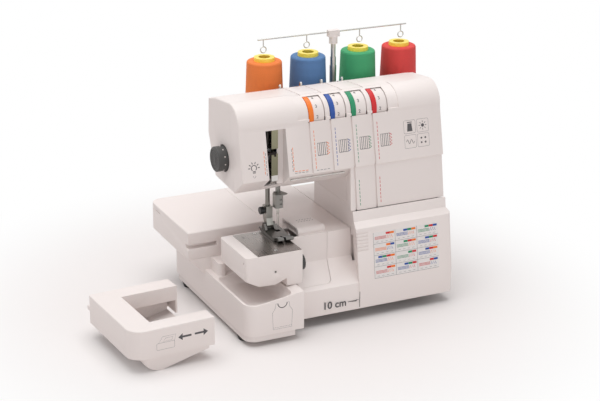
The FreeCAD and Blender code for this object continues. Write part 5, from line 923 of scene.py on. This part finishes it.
class OVERLOCK_OT_stitch_chart(bpy.types.Operator):
    """Chart of seams on the front cover: cells with coloured thread bars over little seams"""

    bl_idname = "overlock.stitch_chart"
    bl_label = "Stitch chart"

    def execute(self, context):
        wide, high = 3 * CELL_WIDE, 4 * CELL_HIGH
        ground = [[(CHART_LEFT, CHART_FOOT), (CHART_LEFT + wide, CHART_FOOT),
                   (CHART_LEFT + wide, CHART_FOOT + high), (CHART_LEFT, CHART_FOOT + high)]]
        filled("chart_ground", COVER_FRONT, inks()["paper"], ground)
        bars = {thread: [] for thread in THREADS}
        seams = {thread: [] for thread in THREADS}
        grey = []
        for place, threads in enumerate(CHART_CELLS):
            x = CHART_LEFT + CELL_WIDE * (place % 3)
            y = CHART_FOOT + CELL_HIGH * (place // 3)
            self.cell(x, y, threads, bars, seams, grey)
        lift = size_mm("ink")
        for thread in THREADS:
            ink, slot = inks()[thread], f"ring_{thread}"
            mark = filled(f"chart_bars_{thread}", COVER_FRONT, ink, bars[thread])
            self.raise_on_ground(mark, lift)
            mark = drawn(f"chart_seams_{thread}", COVER_FRONT, ink, seams[thread], 0.6)
            self.raise_on_ground(mark, lift)
        mark = drawn("chart_lines", COVER_FRONT, inks()["pale_ink"], grey, 0.45)
        self.raise_on_ground(mark, lift)
        return {"FINISHED"}

    def cell(self, x, y, threads, bars, seams, grey):
        """Bars at the top, seam lines with a zigzag in the first thread, and short strokes below."""
        first = x + CELL_WIDE - 1.5 - BAR_STEP * len(threads)
        for step, thread in enumerate(threads):
            start = first + BAR_STEP * step
            bars[thread].append(bar((start, y + BAR_UP), (start + BAR_LONG, y + BAR_UP), BAR_WIDE))
        for row in range(3):
            level = y + 6.2 + 1.5 * row
            seams[threads[0]].append([(x + 2, level), (x + 19, level)])
        zigzag = [(x + 20 + 1.4 * step, y + 5.5 + 4.2 * (step % 2)) for step in range(7)]
        seams[threads[-1]].append(zigzag)
        grey.append([(x, y), (x + CELL_WIDE, y)])
        grey.append([(x, y), (x, y + CELL_HIGH)])
        grey += [[(x + 4 + 7 * step, y + 2.4), (x + 7.5 + 7 * step, y + 2.4)] for step in range(4)]

    def raise_on_ground(self, mark, lift):
        outward = COVER_FRONT.right.cross(COVER_FRONT.upward)
        settle(mark, Matrix.Translation(outward * lift * MM))


class OVERLOCK_OT_plate_details(bpy.types.Operator):
    """Screws of the needle plate, with painted shade for small hole openings in the plate and the free arm
    """

    bl_idname = "overlock.plate_details"
    bl_label = "Plate details"

    def execute(self, context):
        steel = plain_metal("screw steel", (0.78, 0.76, 0.73), 0.25)
        first = self.screw()
        for place, (x, y, turn) in enumerate(((-27.6, 12.5, 35), (-26.8, -51.3, 80)), 1):
            screw = fresh_copy(first)
            screw.name = f"plate_screw_{place}"
            settle(screw, PLATE_TOP.place(x, y) @ Matrix.Rotation(math.radians(turn), 4, "Z"))
            dress(screw, steel)
            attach(screw, body_of_node("needle_plate"))
        bpy.data.objects.remove(first)
        # Painted shade: dark grey discs stand for the shade inside the plate's small hole openings.
        hole_shade = [circle(-51, -55.5, 0.9), circle(-14.5, -56.9, 0.9), circle(-13.9, 8.0, 0.9)]
        marks = [bar((-49, 3.0 + 1.7 * step), (-45.5, 3.0 + 1.7 * step), 0.5) for step in range(3)]
        # Painted shade: dark grey discs a little wider than the screw heads show as a shaded ring round each
        # screw.
        rings = [circle(-27.6, 12.5, 3.1), circle(-26.8, -51.3, 3.1)]
        # One mesh: the plate's engraved marks and the painted shade of the discs, all in the dark grey ink.
        filled("plate_marks_and_hole_shade", PLATE_TOP, inks()["ink"], hole_shade + marks + rings)
        # Painted shade: a dark grey disc stands for the shade inside a small hole on the free arm's front.
        filled("arm_hole_shade", ARM_FRONT, inks()["ink"], [circle(-33.2, 88.9, 1.2)])
        return {"FINISHED"}

    def screw(self):
        """Low round head with a slot, in millimetres."""
        radius = size_mm("screw")
        deselect()
        bpy.ops.mesh.primitive_cylinder_add(vertices=32, radius=radius, depth=0.8)
        head = bpy.context.active_object
        round_rims(0.25, 3)
        deselect()
        bpy.ops.mesh.primitive_cube_add(size=1, location=(0, 0, 0.4))
        slot = bpy.context.active_object
        slot.scale = (3 * radius, 0.7, 0.7)
        cut = head.modifiers.new("slot", "BOOLEAN")
        cut.object = slot
        deselect()
        head.select_set(True)
        bpy.context.view_layer.objects.active = head
        bpy.ops.object.modifier_apply(modifier="slot")
        bpy.ops.object.shade_smooth_by_angle(angle=math.radians(30))
        bpy.data.objects.remove(slot)
        return head


# The camera of the photograph: angles, and places in millimetres from the foot of the needles' line
CAMERA_TURN = math.radians(-25.77)
CAMERA_RISE = math.radians(20.16)
CAMERA_ROLL = math.radians(0.395)
CAMERA_TARGET = (-18.4, 7.4, 8.3)
CAMERA_BACK = 2132.0
CAMERA_RIGHT = 49.6
CAMERA_UP = 141.9
CAMERA_LENS = 96.0


def camera_axes():
    """Right, up and backward directions of the photograph's camera."""
    level = math.cos(CAMERA_RISE)
    back = Vector((math.sin(CAMERA_TURN) * level, -math.cos(CAMERA_TURN) * level, math.sin(CAMERA_RISE)))
    right = Vector((math.cos(CAMERA_TURN), math.sin(CAMERA_TURN), 0))
    up = back.cross(right)
    roll = Matrix.Rotation(CAMERA_ROLL, 3, back)
    return roll @ right, roll @ up, back


class OVERLOCK_OT_studio(bpy.types.Operator):
    """Pale floor, soft light and the camera of the photograph"""

    bl_idname = "overlock.studio"
    bl_label = "Studio"

    def execute(self, context):
        self.floor()
        self.world()
        self.lamp("overhead", (-0.25, 0.05, 2.3), (0.0, 0.0, 0.1), 2.4, 41.0)
        self.lamp("front fill", (0.1, -2.4, 0.6), (0.0, 0.0, 0.15), 1.6, 6.5)
        self.camera()
        context.scene.view_settings.view_transform = "Standard"
        return {"FINISHED"}

    def floor(self):
        deselect()
        bpy.ops.mesh.primitive_plane_add(size=14, location=(0, 0, 0))
        floor = bpy.context.active_object
        floor.name = "floor"
        finish = Finish("paper floor", Base_Color=(0.85, 0.81, 0.80), Roughness=0.9)
        rays = finish.node("ShaderNodeLightPath", output="Is Camera Ray")
        away = finish.node("ShaderNodeVectorMath", {"operation": "LENGTH"}, {0: finish.here()}, "Value")
        share = finish.node("ShaderNodeMapRange", {"interpolation_type": "SMOOTHSTEP"},
                            {"Value": away, "From Min": 0.2, "From Max": 0.52})
        white = finish.node("ShaderNodeEmission", None, {"Color": (1, 1, 1), "Strength": 1.0})
        ground = Wire(finish, finish.shader.outputs[0])
        mixed = finish.node("ShaderNodeMixShader", None, {0: rays * share, 1: ground, 2: white})
        finish.tree.links.new(mixed.socket, finish.output.inputs["Surface"])
        dress(floor, finish.material)

    def world(self):
        world = bpy.data.worlds.new("studio")
        bpy.context.scene.world = world
        world.use_nodes = True
        tree = world.node_tree
        rays = tree.nodes.new("ShaderNodeLightPath")
        seen = tree.nodes.new("ShaderNodeMath")
        seen.operation = "MAXIMUM"
        tree.links.new(rays.outputs["Is Camera Ray"], seen.inputs[0])
        tree.links.new(rays.outputs["Is Glossy Ray"], seen.inputs[1])
        strength = tree.nodes.new("ShaderNodeMapRange")
        strength.inputs["To Min"].default_value = 0.46
        strength.inputs["To Max"].default_value = 1.0
        tree.links.new(seen.outputs[0], strength.inputs["Value"])
        background = tree.nodes["Background"]
        background.inputs["Color"].default_value = (1, 1, 1, 1)
        tree.links.new(strength.outputs[0], background.inputs["Strength"])

    def lamp(self, name, place, target, size, power):
        deselect()
        bpy.ops.object.light_add(type="AREA", location=place)
        lamp = bpy.context.active_object
        lamp.name = name
        lamp.data.size = size
        lamp.data.energy = power
        lamp.rotation_euler = (Vector(place) - Vector(target)).to_track_quat("Z", "Y").to_euler()

    def camera(self):
        deselect()
        right, up, back = camera_axes()
        bpy.ops.object.camera_add()
        camera = bpy.context.active_object
        camera.name = "photo camera"
        place = spot(*CAMERA_TARGET) + (back * CAMERA_BACK + right * CAMERA_RIGHT + up * CAMERA_UP) * MM
        camera.matrix_world = Matrix.Translation(place) @ Matrix((right, up, back)).transposed().to_4x4()
        camera.data.sensor_width = 36.0
        camera.data.lens = CAMERA_LENS
        bpy.context.scene.camera = camera


class OVERLOCK_PT_panel(bpy.types.Panel):
    """Lists the steps that dress the machine"""

    bl_idname = "OVERLOCK_PT_panel"
    bl_label = "Overlock"
    bl_space_type = "VIEW_3D"
    bl_region_type = "UI"
    bl_category = "Overlock"

    def draw(self, context):
        for step in STEPS:
            self.layout.operator(step.bl_idname)


STEPS = (OVERLOCK_OT_covers, OVERLOCK_OT_metalwork, OVERLOCK_OT_knobs, OVERLOCK_OT_dials, OVERLOCK_OT_cones,
         OVERLOCK_OT_threading_lines, OVERLOCK_OT_signs, OVERLOCK_OT_stitch_chart, OVERLOCK_OT_plate_details,
         OVERLOCK_OT_studio)
CLASSES = (OverlockColours, OverlockSizes, *STEPS, OVERLOCK_PT_panel)


def register():
    for cls in CLASSES:
        bpy.utils.register_class(cls)
    bpy.types.Scene.overlock_colours = bpy.props.PointerProperty(type=OverlockColours)
    bpy.types.Scene.overlock_sizes = bpy.props.PointerProperty(type=OverlockSizes)


def unregister():
    del bpy.types.Scene.overlock_sizes
    del bpy.types.Scene.overlock_colours
    for cls in reversed(CLASSES):
        bpy.utils.unregister_class(cls)


def main():
    register()
    for step in STEPS:
        group, name = step.bl_idname.split(".")
        getattr(getattr(bpy.ops, group), name)()


if __name__ == "__main__":
    main()
